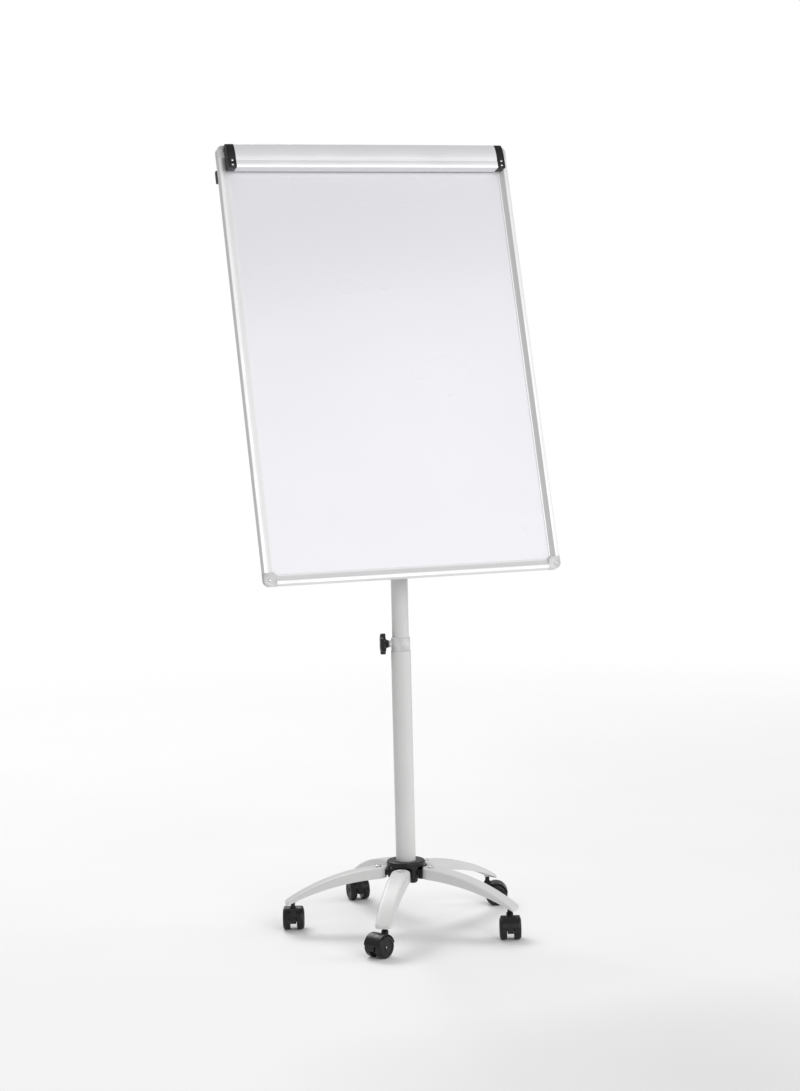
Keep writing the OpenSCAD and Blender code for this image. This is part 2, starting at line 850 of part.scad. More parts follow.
module arm_cap(s) {
  wall = 1.5 + fit_gap;
  color([0.06, 0.06, 0.07])
    at_arm(s) {
      translate([-1 - arm_cap_len, 0, 0])
        rotate([90, 0, 90])
          translate([-arm_h / 2 - 1.5, -arm_t / 2 - 2])
            linear_extrude(arm_cap_len) soft_rect(arm_h + 3, arm_t + 4, 3);
      translate([-1 - eps, -arm_h / 2 + wall, -arm_t / 2 + wall])
        cube([16, arm_h - 2 * wall, arm_t - 2 * wall]);
    }
}

// ---------------------------------------------------------------- paper clamp

module on_clamp(len) {
  on_board() translate([0, board_h, 0]) across(len) children();
}

// Front outline of the bar at depth d inside its skin, from the hinge down to the lip
function clamp_front_points(d) =
  let (
    r = clamp_turn_r - d,
    face = clamp_front - face_step - d,
    start = hinge + r * [cos(55), sin(55)],
    lean = (face - start[1]) / cos(55)
  )
    concat(
      arc(hinge, r, -15, 55),
      curve(start, [start[0] - lean * sin(55), face], [-clamp_h + lip_h + 2, face])
    );

module clamp_bar() {
  low = -clamp_h;
  outer = concat(
    clamp_front_points(0),
    [
      [low + lip_h + 0.8, clamp_front - 1.7], [low + lip_h - 0.6, clamp_front - 1.7],
      [low + lip_h - 1.8, clamp_front], [low + 1.2, clamp_front], [low, clamp_front - 1.2],
      [low, -recess + grip_h + slip_gap]
    ]
  );
  inner = concat(
    clamp_front_points(clamp_wall),
    [
      [low + clamp_wall, clamp_front - face_step - clamp_wall],
      [low + clamp_wall, -recess + grip_h + slip_gap]
    ]
  );
  color("lightgray")
    on_clamp(clamp_body)
      polygon(concat(outer, [for (i = [len(inner) - 1:-1:0]) inner[i]]));
}

module clamp_grip() {
  color([0.25, 0.25, 0.26])
    on_clamp(clamp_body - 2)
      translate([-clamp_h, -recess + slip_gap]) square([3.5, grip_h]);
}

module clamp_end_caps() {
  low = -clamp_h;
  cap_back = 0.7;
  color([0.06, 0.06, 0.07])
    for (s = [0, 1])
      mirror([s, 0, 0])
        difference() {
          union() {
            translate([-(clamp_len - clamp_cap_len) / 2, 0, 0])
              on_clamp(clamp_cap_len)
                polygon(concat(
                  arc(hinge, clamp_turn_r, -90, -15),
                  clamp_front_points(0),
                  [
                    [low + 3, clamp_front], [low + 1, clamp_front - 0.6],
                    [low, clamp_front - 2], [low, cap_back], [-30, cap_back]
                  ]
                ));
            // tenon inside the bar
            translate([-clamp_body / 2 + 6 - eps, 0, 0])
              on_clamp(12) translate([-clamp_h + 6, cap_tenon_y]) square([26, cap_tenon_t]);
          }
          translate([-clamp_len / 2 + 1, 0, 0])
            on_clamp(2 * clamp_cap_len + 10) translate(hinge) circle(d = clamp_pin_d);
        }
}

module clamp_cap_screws() {
  color("silver")
    for (s = [-1, 1], above = [lip_h / 3, lip_h - 1.5])
      on_board()
        translate([
          s * (clamp_len - clamp_cap_len) / 2, board_h - clamp_h + above, clamp_front - 0.5
        ])
          screw(5, 1.5, 2.5, 6);
}

module clamp_pin() {
  color("silver") on_clamp(clamp_len - 4) translate(hinge) circle(d = clamp_pin_d);
}

module clamp_base() {
  knuckle_r = clamp_pin_d / 2 + 2;
  color("silver")
    difference() {
      on_clamp(2 * base_half)
        difference() {
          union() {
            translate([-45, 0]) square([43, 2.5]);
            translate([groove_x - groove_w / 2 - 2, 0]) square([groove_w + 4, groove_h + 4.5]);
            translate([hinge[0] - 2.5, 0]) square([5, hinge[1]]);
            translate(hinge) circle(knuckle_r);
          }
          translate([groove_x - groove_w / 2, 2.5]) square([groove_w, groove_h]);
          translate([groove_x - groove_open / 2, 2.5]) square([groove_open, 10]);
          translate(hinge) circle(clamp_pin_d / 2 + run_gap);
        }
      for (s = [-1, 1])
        translate([s * spring_x, 0, 0])
          on_clamp(spring_len) translate([hinge[0] - 9, 2.5]) square([20, 20]);
    }
}

module clamp_springs() {
  wire = 1.4;
  coil_r = clamp_pin_d / 2 + 0.5 + wire / 2;
  coil_len = spring_len - 12;
  leg_len = 14;
  color("silver")
    on_board()
      for (s = [-1, 1])
        translate([s * spring_x, board_h + hinge[0], hinge[1]]) {
          // the close-wound coil, as a sleeve round the pin
          translate([-coil_len / 2, 0, 0])
            rotate([0, 90, 0]) tube(2 * coil_r + wire, wire, coil_len);
          // one leg lies on the base
          translate([coil_len / 2 - wire, -coil_r, 0])
            rotate([180, 0, 0]) cylinder(d = wire, h = hinge[1] - 2.5);
          // the other leg lies behind the bar
          translate([wire - coil_len / 2, 0, coil_r])
            rotate([90, 0, 0]) cylinder(d = wire, h = leg_len);
        }
}

module pad_hook(s) {
  foot_h = groove_h - 2 * 0.2;
  color("silver")
    on_board()
      translate([s * hook_x, board_h + groove_x, 2.5 + 0.2]) {
        translate([-10, -groove_w / 2 + slip_gap, 0])
          cube([20, groove_w - 2 * slip_gap, foot_h]);
        cylinder(d = groove_open - 2 * slip_gap, h = groove_h + 3);
        translate([0, 0, groove_h + 2.2]) cylinder(d = hook_d, h = 9);
      }
}

// ---------------------------------------------------------------- assembly

base_hub();
leg(1);  // leg_1
leg(2);  // leg_2
leg(3);  // leg_3
leg(4);  // leg_4
leg(5);  // leg_5
leg_screws();
caster_stems();
lower_column();
column_collar();
column_bolt();
caster_hood(1);  // caster_1_hood
caster_hood(2);  // caster_2_hood
caster_hood(3);  // caster_3_hood
caster_hood(4);  // caster_4_hood
caster_hood(5);  // caster_5_hood
caster_axle(1);  // caster_1_axle
caster_axle(2);  // caster_2_axle
caster_axle(3);  // caster_3_axle
caster_axle(4);  // caster_4_axle
caster_axle(5);  // caster_5_axle
caster_wheels(1);  // caster_1_wheels
caster_wheels(2);  // caster_2_wheels
caster_wheels(3);  // caster_3_wheels
caster_wheels(4);  // caster_4_wheels
caster_wheels(5);  // caster_5_wheels
guide_bush();
upper_column();
column_head();
height_knob();
height_stud();
tilt_bracket();
tilt_bolt();
tilt_knob();
panel(-recess, sheet_t, "white");  // writing_sheet
panel(-recess - sheet_t, core_t, "tan");  // board_core
panel(-recess - sheet_t - core_t, back_t, "silver");  // back_sheet
frame_side(0);  // frame_left
frame_side(1);  // frame_right
frame_end(1);  // frame_top
frame_end(0);  // frame_bottom
corner_caps();
corner_screws();
back_channel();
arm_guide();
guide_tabs();
back_screws();
clamp_base();
clamp_bar();
clamp_end_caps();
clamp_cap_screws();
clamp_pin();
clamp_grip();
clamp_springs();
pad_hook(-1);  // pad_hook_left
pad_hook(1);  // pad_hook_right
arm(0);  // arm_left
arm(1);  // arm_right
arm_cap(0);  // arm_cap_left
arm_cap(1);  // arm_cap_right
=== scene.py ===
"""Looks of a mobile flip chart easel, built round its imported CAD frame.

Each sub-assembly is a class that models its pieces with bmesh operators, in metres, and
dresses them with procedural finishes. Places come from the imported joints, mounts and boxes.
"""

from __future__ import annotations

import json
import logging
import math
from collections.abc import Sequence
from dataclasses import dataclass, field
from enum import Enum

import bmesh
import bpy
from mathutils import Matrix, Vector

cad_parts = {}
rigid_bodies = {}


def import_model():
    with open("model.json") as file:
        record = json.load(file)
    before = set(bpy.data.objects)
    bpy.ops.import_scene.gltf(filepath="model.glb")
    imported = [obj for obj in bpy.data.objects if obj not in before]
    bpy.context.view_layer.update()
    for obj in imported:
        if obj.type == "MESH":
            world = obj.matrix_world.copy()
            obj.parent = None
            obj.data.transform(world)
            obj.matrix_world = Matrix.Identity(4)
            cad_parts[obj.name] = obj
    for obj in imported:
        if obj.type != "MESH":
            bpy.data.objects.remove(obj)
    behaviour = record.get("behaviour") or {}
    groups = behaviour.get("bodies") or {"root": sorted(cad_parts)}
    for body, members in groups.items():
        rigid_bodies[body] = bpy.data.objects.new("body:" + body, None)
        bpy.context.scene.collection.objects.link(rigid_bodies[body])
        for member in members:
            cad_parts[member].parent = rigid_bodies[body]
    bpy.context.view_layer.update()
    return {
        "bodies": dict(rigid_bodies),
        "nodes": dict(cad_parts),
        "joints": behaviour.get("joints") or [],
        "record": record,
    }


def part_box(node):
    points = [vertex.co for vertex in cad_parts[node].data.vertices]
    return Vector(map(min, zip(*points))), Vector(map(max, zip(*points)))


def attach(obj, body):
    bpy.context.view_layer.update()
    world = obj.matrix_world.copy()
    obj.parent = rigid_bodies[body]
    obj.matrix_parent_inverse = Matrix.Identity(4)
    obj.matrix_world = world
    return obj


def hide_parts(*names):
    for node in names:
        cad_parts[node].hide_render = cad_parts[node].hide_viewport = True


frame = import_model()

LOG = logging.getLogger("easel")
MM = 0.001
TUBE_WALL = 1.5 * MM
TUBE_EDGE = 0.4 * MM  # rounding of a tube's sawn end
Point2 = tuple[float, float]
# Takes an outline of (up, out) to the board's frame and extrudes it along X
UP_AND_OUT = Matrix(((0, 0, 1, 0), (1, 0, 0, 0), (0, 1, 0, 0), (0, 0, 0, 1)))
# Takes an outline of (across, out) to the board's frame and extrudes it downwards
ACROSS_AND_OUT = Matrix(((1, 0, 0, 0), (0, 0, -1, 0), (0, 1, 0, 0), (0, 0, 0, 1)))


class Slot(Enum):
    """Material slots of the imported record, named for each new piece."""

    PAINTED_STEEL = "painted_steel"
    BLACK_PLASTIC = "black_plastic"
    GREY_PLASTIC = "grey_plastic"
    DARK_PLASTIC = "dark_plastic"
    WHEEL_PLASTIC = "wheel_plastic"
    STEEL = "steel"
    DARK_STEEL = "dark_steel"
    ALUMINIUM = "anodised_aluminium"
    RUBBER = "rubber"


class Grain(Enum):
    """Direction in which an extrusion was drawn."""

    ACROSS = "across"
    UP_THE_BOARD = "up"


# ------------------------------------------------------------------ places


class Places:
    """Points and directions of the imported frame."""

    def __init__(self, packed: dict) -> None:
        """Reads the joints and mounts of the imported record."""
        self._joints = {j["name"]: j for j in packed["joints"]}
        self._mounts = {m["name"]: m for m in packed["record"]["mounts"]}

    def point(self, joint: str) -> Vector:
        """A point on a hinge's axis."""
        return Vector(self._joints[joint]["pos_m"])

    def axis(self, joint: str) -> Vector:
        """The unit direction of a joint."""
        return Vector(self._joints[joint]["axis"]).normalized()

    def mount(self, name: str) -> tuple[Vector, Vector]:
        """Position and unit axis of a mount."""
        mount = self._mounts[name]
        return Vector(mount["pos_m"]), Vector(mount["axis"]).normalized()


def frame_matrix(origin: Vector, x: Vector, z: Vector) -> Matrix:
    """Matrix of a right-handed frame.

    Args:
        origin: Where the frame's origin lies.
        x: Direction of its X axis.
        z: Direction of its Z axis, at right angles to x.

    Returns:
        The 4 by 4 matrix that takes the frame's points to the object's.
    """
    x, z = x.normalized(), z.normalized()
    y = z.cross(x)
    rows = [(x[i], y[i], z[i], origin[i]) for i in range(3)]
    return Matrix((*rows, (0, 0, 0, 1)))


def axis_matrix(origin: Vector, z: Vector) -> Matrix:
    """Frame whose Z axis lies along a direction, for turned shapes.

    Args:
        origin: Where the frame's origin lies.
        z: Direction of its Z axis.

    Returns:
        The frame's matrix.
    """
    z = z.normalized()
    side = Vector((0, 0, 1)) if abs(z.z) < 0.9 else Vector((1, 0, 0))
    return frame_matrix(origin, side.cross(z), z)


def arc(cx: float, cy: float, r: float, start: float, end: float, steps: int) -> list[Point2]:
    """Points along an arc.

    Args:
        cx: Centre, first coordinate.
        cy: Centre, second coordinate.
        r: Radius.
        start: First angle in degrees.
        end: Last angle in degrees.
        steps: Number of chords.

    Returns:
        steps + 1 points.
    """
    turns = [math.radians(start + (end - start) * i / steps) for i in range(steps + 1)]
    return [(cx + r * math.cos(a), cy + r * math.sin(a)) for a in turns]


# ------------------------------------------------------------------ mesh building


def round_edges(bm: bmesh.types.BMesh, width: float, segments: int, limit: float = 30) -> None:
    """Bevels every edge that turns by more than limit degrees.

    Args:
        bm: The mesh to change.
        width: Width of the bevel in metres.
        segments: Number of strips in the bevel.
        limit: Least angle between two faces in degrees.
    """
    sharp = [
        e for e in bm.edges if len(e.link_faces) == 2 and e.calc_face_angle(0) > math.radians(limit)
    ]
    if sharp and width > 0:
        bmesh.ops.bevel(
            bm,
            geom=sharp,
            offset=width,
            offset_type="OFFSET",
            segments=segments,
            profile=0.5,
            affect="EDGES",
            clamp_overlap=True,
            material=-1,
        )


class Shape:
    """A mesh in the making. Each call adds one closed solid."""

    def __init__(self) -> None:
        """Starts with an empty mesh."""
        self.bm = bmesh.new()

    def add(self, part: bmesh.types.BMesh, place: Matrix) -> Shape:
        """Moves a solid to its place, turns its faces outwards and adds it.

        Args:
            part: The solid, which is freed.
            place: Where its local frame lies.

        Returns:
            The shape itself.
        """
        part.transform(place)
        bmesh.ops.recalc_face_normals(part, faces=part.faces)
        mesh = bpy.data.meshes.new("part")
        part.to_mesh(mesh)
        part.free()
        self.bm.from_mesh(mesh)
        bpy.data.meshes.remove(mesh)
        return self

    def lathe(
        self, profile: Sequence[Point2], place: Matrix, steps: int = 64, closed: bool = False
    ) -> Shape:
        """Spins a profile round the local Z axis.

        Args:
            profile: Points as (radius, height), from one end to the other.
            place: Where the local frame lies.
            steps: Number of steps in the full turn.
            closed: True if the profile is a loop, as for a ring.

        Returns:
            The shape itself.
        """
        bm = bmesh.new()
        verts = [bm.verts.new((r, 0, h)) for r, h in profile]
        pairs = list(zip(verts, verts[1:]))
        if closed:
            pairs.append((verts[-1], verts[0]))
        edges = [bm.edges.new(pair) for pair in pairs]
        bmesh.ops.spin(
            bm,
            geom=verts + edges,
            cent=(0, 0, 0),
            axis=(0, 0, 1),
            dvec=(0, 0, 0),
            angle=math.tau,
            steps=steps,
            use_merge=True,
            use_duplicate=False,
        )
        bmesh.ops.remove_doubles(bm, verts=bm.verts, dist=1e-6)
        return self.add(bm, place)

    def prism(
        self,
        outline: Sequence[Point2],
        length: float,
        place: Matrix,
        bevel: float = 0,
        segments: int = 2,
        limit: float = 30,
    ) -> Shape:
        """Extrudes an outline along the local Z axis, from 0 to length.

        Args:
            outline: Corners in the local XY plane.
            length: How far the outline is extruded.
            place: Where the local frame lies.
            bevel: Width of the bevel on its sharp edges.
            segments: Strips in the bevel.
            limit: Least angle of a bevelled edge in degrees.

        Returns:
            The shape itself.
        """
        bm = bmesh.new()
        face = bm.faces.new([bm.verts.new((x, y, 0)) for x, y in outline])
        extruded = bmesh.ops.extrude_face_region(bm, geom=[face], use_keep_orig=True)
        moved = [v for v in extruded["geom"] if isinstance(v, bmesh.types.BMVert)]
        bmesh.ops.translate(bm, vec=(0, 0, length), verts=moved)
        bmesh.ops.recalc_face_normals(bm, faces=bm.faces)
        round_edges(bm, bevel, segments, limit)
        return self.add(bm, place)

    def from_cad(self, node: str, bevel: float, segments: int = 2, limit: float = 30) -> Shape:
        """Adds a merged copy of a CAD node, with its sharp edges bevelled.

        Args:
            node: Name of the CAD node.
            bevel: Width of the bevel in metres, or 0 for none.
            segments: Strips in the bevel.
            limit: Least angle of a bevelled edge in degrees.

        Returns:
            The shape itself.
        """
        bm = bmesh.new()
        bm.from_mesh(frame["nodes"][node].data)
        bmesh.ops.remove_doubles(bm, verts=bm.verts, dist=2e-6)
        bmesh.ops.dissolve_limit(
            bm, angle_limit=math.radians(0.6), verts=bm.verts, edges=bm.edges
        )
        round_edges(bm, bevel, segments, limit)
        mesh = bpy.data.meshes.new("part")
        bm.to_mesh(mesh)
        bm.free()
        self.bm.from_mesh(mesh)
        bpy.data.meshes.remove(mesh)
        return self

    def make(self, name: str, finish: Finish, smooth: float = 35) -> bpy.types.Object:
        """Turns the shape into an object at the origin.

        Args:
            name: Name of the piece.
            finish: Its material.
            smooth: Edges that turn more than this many degrees stay sharp.

        Returns:
            The new object, linked to the scene.
        """
        mesh = bpy.data.meshes.new(name)
        self.bm.to_mesh(mesh)
        self.bm.free()
        mesh.materials.append(finish.material())
        mesh.shade_smooth()
        mesh.set_sharp_from_angle(angle=math.radians(smooth))
        piece = bpy.data.objects.new(name, mesh)
        bpy.context.scene.collection.objects.link(piece)
        return piece


def melt(piece: bpy.types.Object, voxel: float, passes: int) -> None:
    """Rounds a piece like a moulding: it is remeshed and smoothed, and the result is kept.

    Args:
        piece: The piece, whose mesh is changed.
        voxel: Size of the remesh's cells in metres.
        passes: Number of smoothing passes.
    """
    remesh = piece.modifiers.new("Remesh", "REMESH")
    remesh.mode = "VOXEL"
    remesh.voxel_size = voxel
    remesh.use_smooth_shade = True
    smooth = piece.modifiers.new("Smooth", "SMOOTH")
    smooth.factor = 0.5
    smooth.iterations = passes
    depsgraph = bpy.context.evaluated_depsgraph_get()
    done = bpy.data.meshes.new_from_object(piece.evaluated_get(depsgraph))
    old, piece.data = piece.data, done
    piece.modifiers.clear()
    bpy.data.meshes.remove(old)
    done.shade_smooth()


def fit(piece: bpy.types.Object, body: str, slot: Slot, *nodes: str) -> bpy.types.Object:
    """Puts a finished piece on its body in place of CAD nodes.

    Args:
        piece: The new piece.
        body: The CAD body that it moves with.
        slot: Not used.
        nodes: The CAD nodes that it stands for.

    Returns:
        The piece.
    """
    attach(piece, body)
    if nodes:
        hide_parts(*nodes)
    LOG.info("%s: %d faces on %s", piece.name, len(piece.data.polygons), body)
    return piece


# ------------------------------------------------------------------ finishes


class Graph:
    """Short calls for a material's node tree."""

    def __init__(self, name: str) -> None:
        """Makes an empty material with a shader and an output.

        Args:
            name: Name of the material.
        """
        self.material = bpy.data.materials.new(name)
        self.material.use_nodes = True
        self.tree = self.material.node_tree
        self.tree.nodes.clear()
        self.shader = self.tree.nodes.new("ShaderNodeBsdfPrincipled")
        output = self.tree.nodes.new("ShaderNodeOutputMaterial")
        self.tree.links.new(self.shader.outputs[0], output.inputs[0])
        self.coords = self.tree.nodes.new("ShaderNodeTexCoord").outputs["Object"]

    def value(self, **inputs: float | tuple) -> None:
        """Sets sockets of the shader; an underscore in a name stands for a space."""
        for name, value in inputs.items():
            self.shader.inputs[name.replace("_", " ")].default_value = value

    def mapped(self, scale: Sequence[float], turn: Sequence[float] = (0, 0, 0)) -> object:
        """Object coordinates, turned and then scaled.

        Args:
            scale: Factor along each axis after the turn.
            turn: Turn about each axis in radians.

        Returns:
            The socket of the new coordinates.
        """
        turned = self.tree.nodes.new("ShaderNodeMapping")
        turned.inputs["Rotation"].default_value = turn
        self.tree.links.new(self.coords, turned.inputs["Vector"])
        scaled = self.tree.nodes.new("ShaderNodeMapping")
        scaled.inputs["Scale"].default_value = scale
        self.tree.links.new(turned.outputs[0], scaled.inputs["Vector"])
        return scaled.outputs[0]

    def noise(self, scale: float, detail: float = 3, vector: object = None) -> object:
        """A noise pattern.

        Args:
            scale: Lumps per metre.
            detail: Number of finer layers.
            vector: Coordinates to use in place of the object's.

        Returns:
            The socket of the pattern's factor.
        """
        noise = self.tree.nodes.new("ShaderNodeTexNoise")
        noise.inputs["Scale"].default_value = scale
        noise.inputs["Detail"].default_value = detail
        self.tree.links.new(vector or self.coords, noise.inputs["Vector"])
        return noise.outputs["Fac"]

    def cells(self, scale: float) -> object:
        """Cells of a fine moulded grain.

        Args:
            scale: Cells per metre.

        Returns:
            The socket of the distance to the nearest cell.
        """
        cells = self.tree.nodes.new("ShaderNodeTexVoronoi")
        cells.inputs["Scale"].default_value = scale
        self.tree.links.new(self.coords, cells.inputs["Vector"])
        return cells.outputs["Distance"]

    def ramp(self, factor: object, stops: Sequence[tuple[float, Sequence[float]]]) -> object:
        """Colours along a factor.

        Args:
            factor: Socket of a pattern's factor.
            stops: Places from 0 to 1, each with its colour.

        Returns:
            The socket of the colour.
        """
        ramp = self.tree.nodes.new("ShaderNodeValToRGB")
        elements = ramp.color_ramp.elements
        while len(elements) < len(stops):
            elements.new(0.5)
        for element, (place, colour) in zip(elements, stops):
            element.position = place
            element.color = (*colour, 1)
        self.tree.links.new(factor, ramp.inputs["Fac"])
        return ramp.outputs["Color"]

    def spread(
        self, factor: object, low: float, high: float, start: float = 0.3, end: float = 0.7
    ) -> object:
        """Spreads a pattern's middle range to a span of values.

        Args:
            factor: Socket of a pattern's factor.
            low: Value at the start of the range.
            high: Value at its end.
            start: Factor at which the range starts.
            end: Factor at which it ends.

        Returns:
            The socket of the value.
        """
        spread = self.tree.nodes.new("ShaderNodeMapRange")
        spread.inputs["From Min"].default_value = start
        spread.inputs["From Max"].default_value = end
        spread.inputs["To Min"].default_value = low
        spread.inputs["To Max"].default_value = high
        self.tree.links.new(factor, spread.inputs["Value"])
        return spread.outputs[0]

    def mix(self, factor: object, low: Sequence[float], high: Sequence[float]) -> object:
        """Blends two colours by a pattern's middle range."""
        return self.ramp(factor, [(0.3, low), (0.7, high)])

    def bump(self, height: object, strength: float, depth: float, under: object = None) -> object:
        """A bump normal.

        Args:
            height: Socket of the height pattern.
            strength: How much of the bump shows, from 0 to 1.
            depth: Height in metres of a full step.
            under: Normal of another bump below this one.

        Returns:
            The socket of the normal.
        """
        bump = self.tree.nodes.new("ShaderNodeBump")
        bump.inputs["Strength"].default_value = strength
        bump.inputs["Distance"].default_value = depth
        self.tree.links.new(height, bump.inputs["Height"])
        if under is not None:
            self.tree.links.new(under, bump.inputs["Normal"])
        return bump.outputs[0]

    def feed(self, socket: str, source: object) -> None:
        """Links a pattern to a socket of the shader."""
        self.tree.links.new(source, self.shader.inputs[socket])


def tint(colour: Sequence[float], by: float) -> tuple[float, ...]:
    """A colour made lighter or darker by a factor, and never over 1."""
    return tuple(min(1.0, c * by) for c in colour)


@dataclass(frozen=True)
class Finish:
    """A finish whose material is made once and shared.

    Attributes:
        name: Name of the material.
    """

    name: str

    def paint(self, graph: Graph) -> None:
        """Fills the material's node tree."""
        raise NotImplementedError

    def material(self) -> bpy.types.Material:
        """The finish's material, made at the first call.

        Returns:
            The material, shared by every piece of this finish.
        """
        found = bpy.data.materials.get(self.name)
        if found:
            return found
        graph = Graph(self.name)
        self.paint(graph)
        return graph.material


@dataclass(frozen=True)
class PowderCoat(Finish):
    """Baked powder paint with a fine orange peel.

    Attributes:
        colour: Linear red, green and blue.
        roughness: Middle of its range of roughness.
    """

    colour: tuple[float, float, float] = (0.8, 0.8, 0.8)
    roughness: float = 0.36

    def paint(self, graph: Graph) -> None:
        """Even colour, orange-peel bump and slight differences of gloss.

        Args:
            graph: The node tree to fill.
        """
        broad = graph.noise(9, 4)
        graph.feed("Base Color", graph.mix(broad, tint(self.colour, 0.97), tint(self.colour, 1.02)))
        gloss = graph.noise(60, 3)
        graph.feed("Roughness", graph.spread(gloss, self.roughness - 0.05, self.roughness + 0.07))
        peel = graph.bump(graph.noise(900, 2), 0.18, 0.00012)
        graph.feed("Normal", graph.bump(graph.noise(3500, 2), 0.08, 0.00004, peel))
        graph.value(IOR=1.5, Coat_Weight=0.15, Coat_Roughness=0.25)


@dataclass(frozen=True)
class Moulding(Finish):
    """Moulded plastic with a fine spark-eroded grain.

    Attributes:
        colour: Linear red, green and blue.
        roughness: Middle of its range of roughness.
        grain: Cells of the grain per metre.
        shine: Strength of its reflections, 0.5 for plain plastic.
    """

    colour: tuple[float, float, float] = (0.02, 0.02, 0.022)
    roughness: float = 0.42
    grain: float = 1600
    shine: float = 0.35

    def paint(self, graph: Graph) -> None:
        """Grain, faint flow marks and rubbed spots of gloss.

        Args:
            graph: The node tree to fill.
        """
        flow = graph.noise(35, 5)
        graph.feed("Base Color", graph.mix(flow, tint(self.colour, 0.8), tint(self.colour, 1.35)))
        rub = graph.noise(90, 4)
        graph.feed("Roughness", graph.spread(rub, self.roughness - 0.1, self.roughness + 0.12))
        fine = graph.bump(graph.cells(self.grain), 0.22, 0.00012)
        graph.feed("Normal", graph.bump(graph.noise(240, 2), 0.1, 0.0002, fine))
        graph.value(IOR=1.5, Specular_IOR_Level=self.shine)


@dataclass(frozen=True)
class DrawnAluminium(Finish):
    """Clear anodised aluminium with the fine lines of its extrusion.

    Attributes:
        colour: Linear red, green and blue.
        roughness: Middle of its range of roughness.
        grain: Direction of the lines.
        lean: Angle of lines up the board from the vertical, in radians.
        shine: How far it is metal, as the clear layer dulls it.
    """

    colour: tuple[float, float, float] = (0.8, 0.8, 0.815)
    roughness: float = 0.3
    grain: Grain = Grain.ACROSS
    lean: float = 0.0
    shine: float = 0.72

    def paint(self, graph: Graph) -> None:
        """Long fine lines in colour, gloss and bump, and slow differences along the bar.

        Args:
            graph: The node tree to fill.
        """
        if self.grain is Grain.ACROSS:
            lines = graph.noise(1, 4, graph.mapped((3, 2600, 2600)))
        else:
            lines = graph.noise(1, 4, graph.mapped((2600, 2600, 3), (self.lean, 0, 0)))
        graph.feed("Base Color", graph.mix(lines, tint(self.colour, 0.93), tint(self.colour, 1.05)))
        slow = graph.noise(14, 3)
        graph.feed("Roughness", graph.spread(slow, self.roughness - 0.04, self.roughness + 0.06))
        etched = graph.bump(graph.noise(4200, 2), 0.1, 0.00004)
        graph.feed("Normal", graph.bump(lines, 0.12, 0.00006, etched))
        graph.value(Metallic=self.shine)


@dataclass(frozen=True)
class PlatedSteel(Finish):
    """Zinc-plated steel, slightly cloudy.

    Attributes:
        colour: Linear red, green and blue.
        roughness: Middle of its range of roughness.
    """

    colour: tuple[float, float, float] = (0.66, 0.66, 0.67)
    roughness: float = 0.32

    def paint(self, graph: Graph) -> None:
        """Clouds in the plating with fine scuffs.

        Args:
            graph: The node tree to fill.
        """
        cloud = graph.noise(70, 6)
        graph.feed("Base Color", graph.mix(cloud, tint(self.colour, 0.95), tint(self.colour, 1.05)))
        scuff = graph.noise(420, 5)
        graph.feed("Roughness", graph.spread(scuff, self.roughness - 0.03, self.roughness + 0.06))
        graph.feed("Normal", graph.bump(graph.noise(1500, 3), 0.12, 0.00006))
        graph.value(Metallic=0.95)


@dataclass(frozen=True)
class WritingLacquer(Finish):
    """Glossy white lacquer on the steel writing sheet.

    Attributes:
        colour: Linear red, green and blue.
    """

    colour: tuple[float, float, float] = (0.82, 0.82, 0.86)

    def paint(self, graph: Graph) -> None:
        """A clear coat over white, with wiped haze and a very fine orange peel.

        Args:
            graph: The node tree to fill.
        """
        haze = graph.noise(3.2, 2)
        soft = [(0, tint(self.colour, 0.985)), (1, tint(self.colour, 1.015))]
        graph.feed("Base Color", graph.ramp(haze, soft))
        wiped = graph.noise(1, 2, graph.mapped((2.5, 7, 5)))
        graph.feed("Roughness", graph.spread(wiped, 0.22, 0.36, 0, 1))
        graph.feed("Normal", graph.bump(graph.noise(700, 2), 0.03, 0.00005))
        graph.value(Coat_Weight=0.6, Coat_Roughness=0.14, IOR=1.5)


@dataclass(frozen=True)
class Rubber(Finish):
    """Matt black rubber."""

    def paint(self, graph: Graph) -> None:
        """Dusty matt surface with a fine grain.

        Args:
            graph: The node tree to fill.
        """
        dust = graph.noise(160, 5)
        graph.feed("Base Color", graph.mix(dust, (0.018, 0.018, 0.018), (0.045, 0.045, 0.045)))
        graph.feed("Roughness", graph.spread(dust, 0.7, 0.88))
        graph.feed("Normal", graph.bump(graph.noise(1800, 2), 0.2, 0.0001))


@dataclass(frozen=True)
class FibreBoard(Finish):
    """Pressed fibre board."""

    def paint(self, graph: Graph) -> None:
        """Short fibres in two browns.

        Args:
            graph: The node tree to fill.
        """
        fibres = graph.noise(1, 6, graph.mapped((90, 900, 500)))
        graph.feed("Base Color", graph.mix(fibres, (0.4, 0.3, 0.19), (0.62, 0.5, 0.34)))
        graph.feed("Roughness", graph.spread(fibres, 0.75, 0.9))
        graph.feed("Normal", graph.bump(fibres, 0.4, 0.0002))


@dataclass(frozen=True)
class MillSheet(Finish):
    """Thin rolled sheet on the back of the board.

    Attributes:
        colour: Linear red, green and blue.
    """

    colour: tuple[float, float, float] = (0.62, 0.63, 0.64)

    def paint(self, graph: Graph) -> None:
        """Rolling lines, pale clouds and a soft waviness.

        Args:
            graph: The node tree to fill.
        """
        rolled = graph.noise(1, 5, graph.mapped((1500, 1500, 6)))
        greys = tint(self.colour, 0.92), tint(self.colour, 1.06)
        graph.feed("Base Color", graph.mix(rolled, *greys))
        cloud = graph.noise(8, 5)
        graph.feed("Roughness", graph.spread(cloud, 0.34, 0.5))
        waves = graph.bump(graph.noise(5, 2), 0.15, 0.002)
        graph.feed("Normal", graph.bump(rolled, 0.08, 0.00005, waves))
        graph.value(Metallic=0.8)


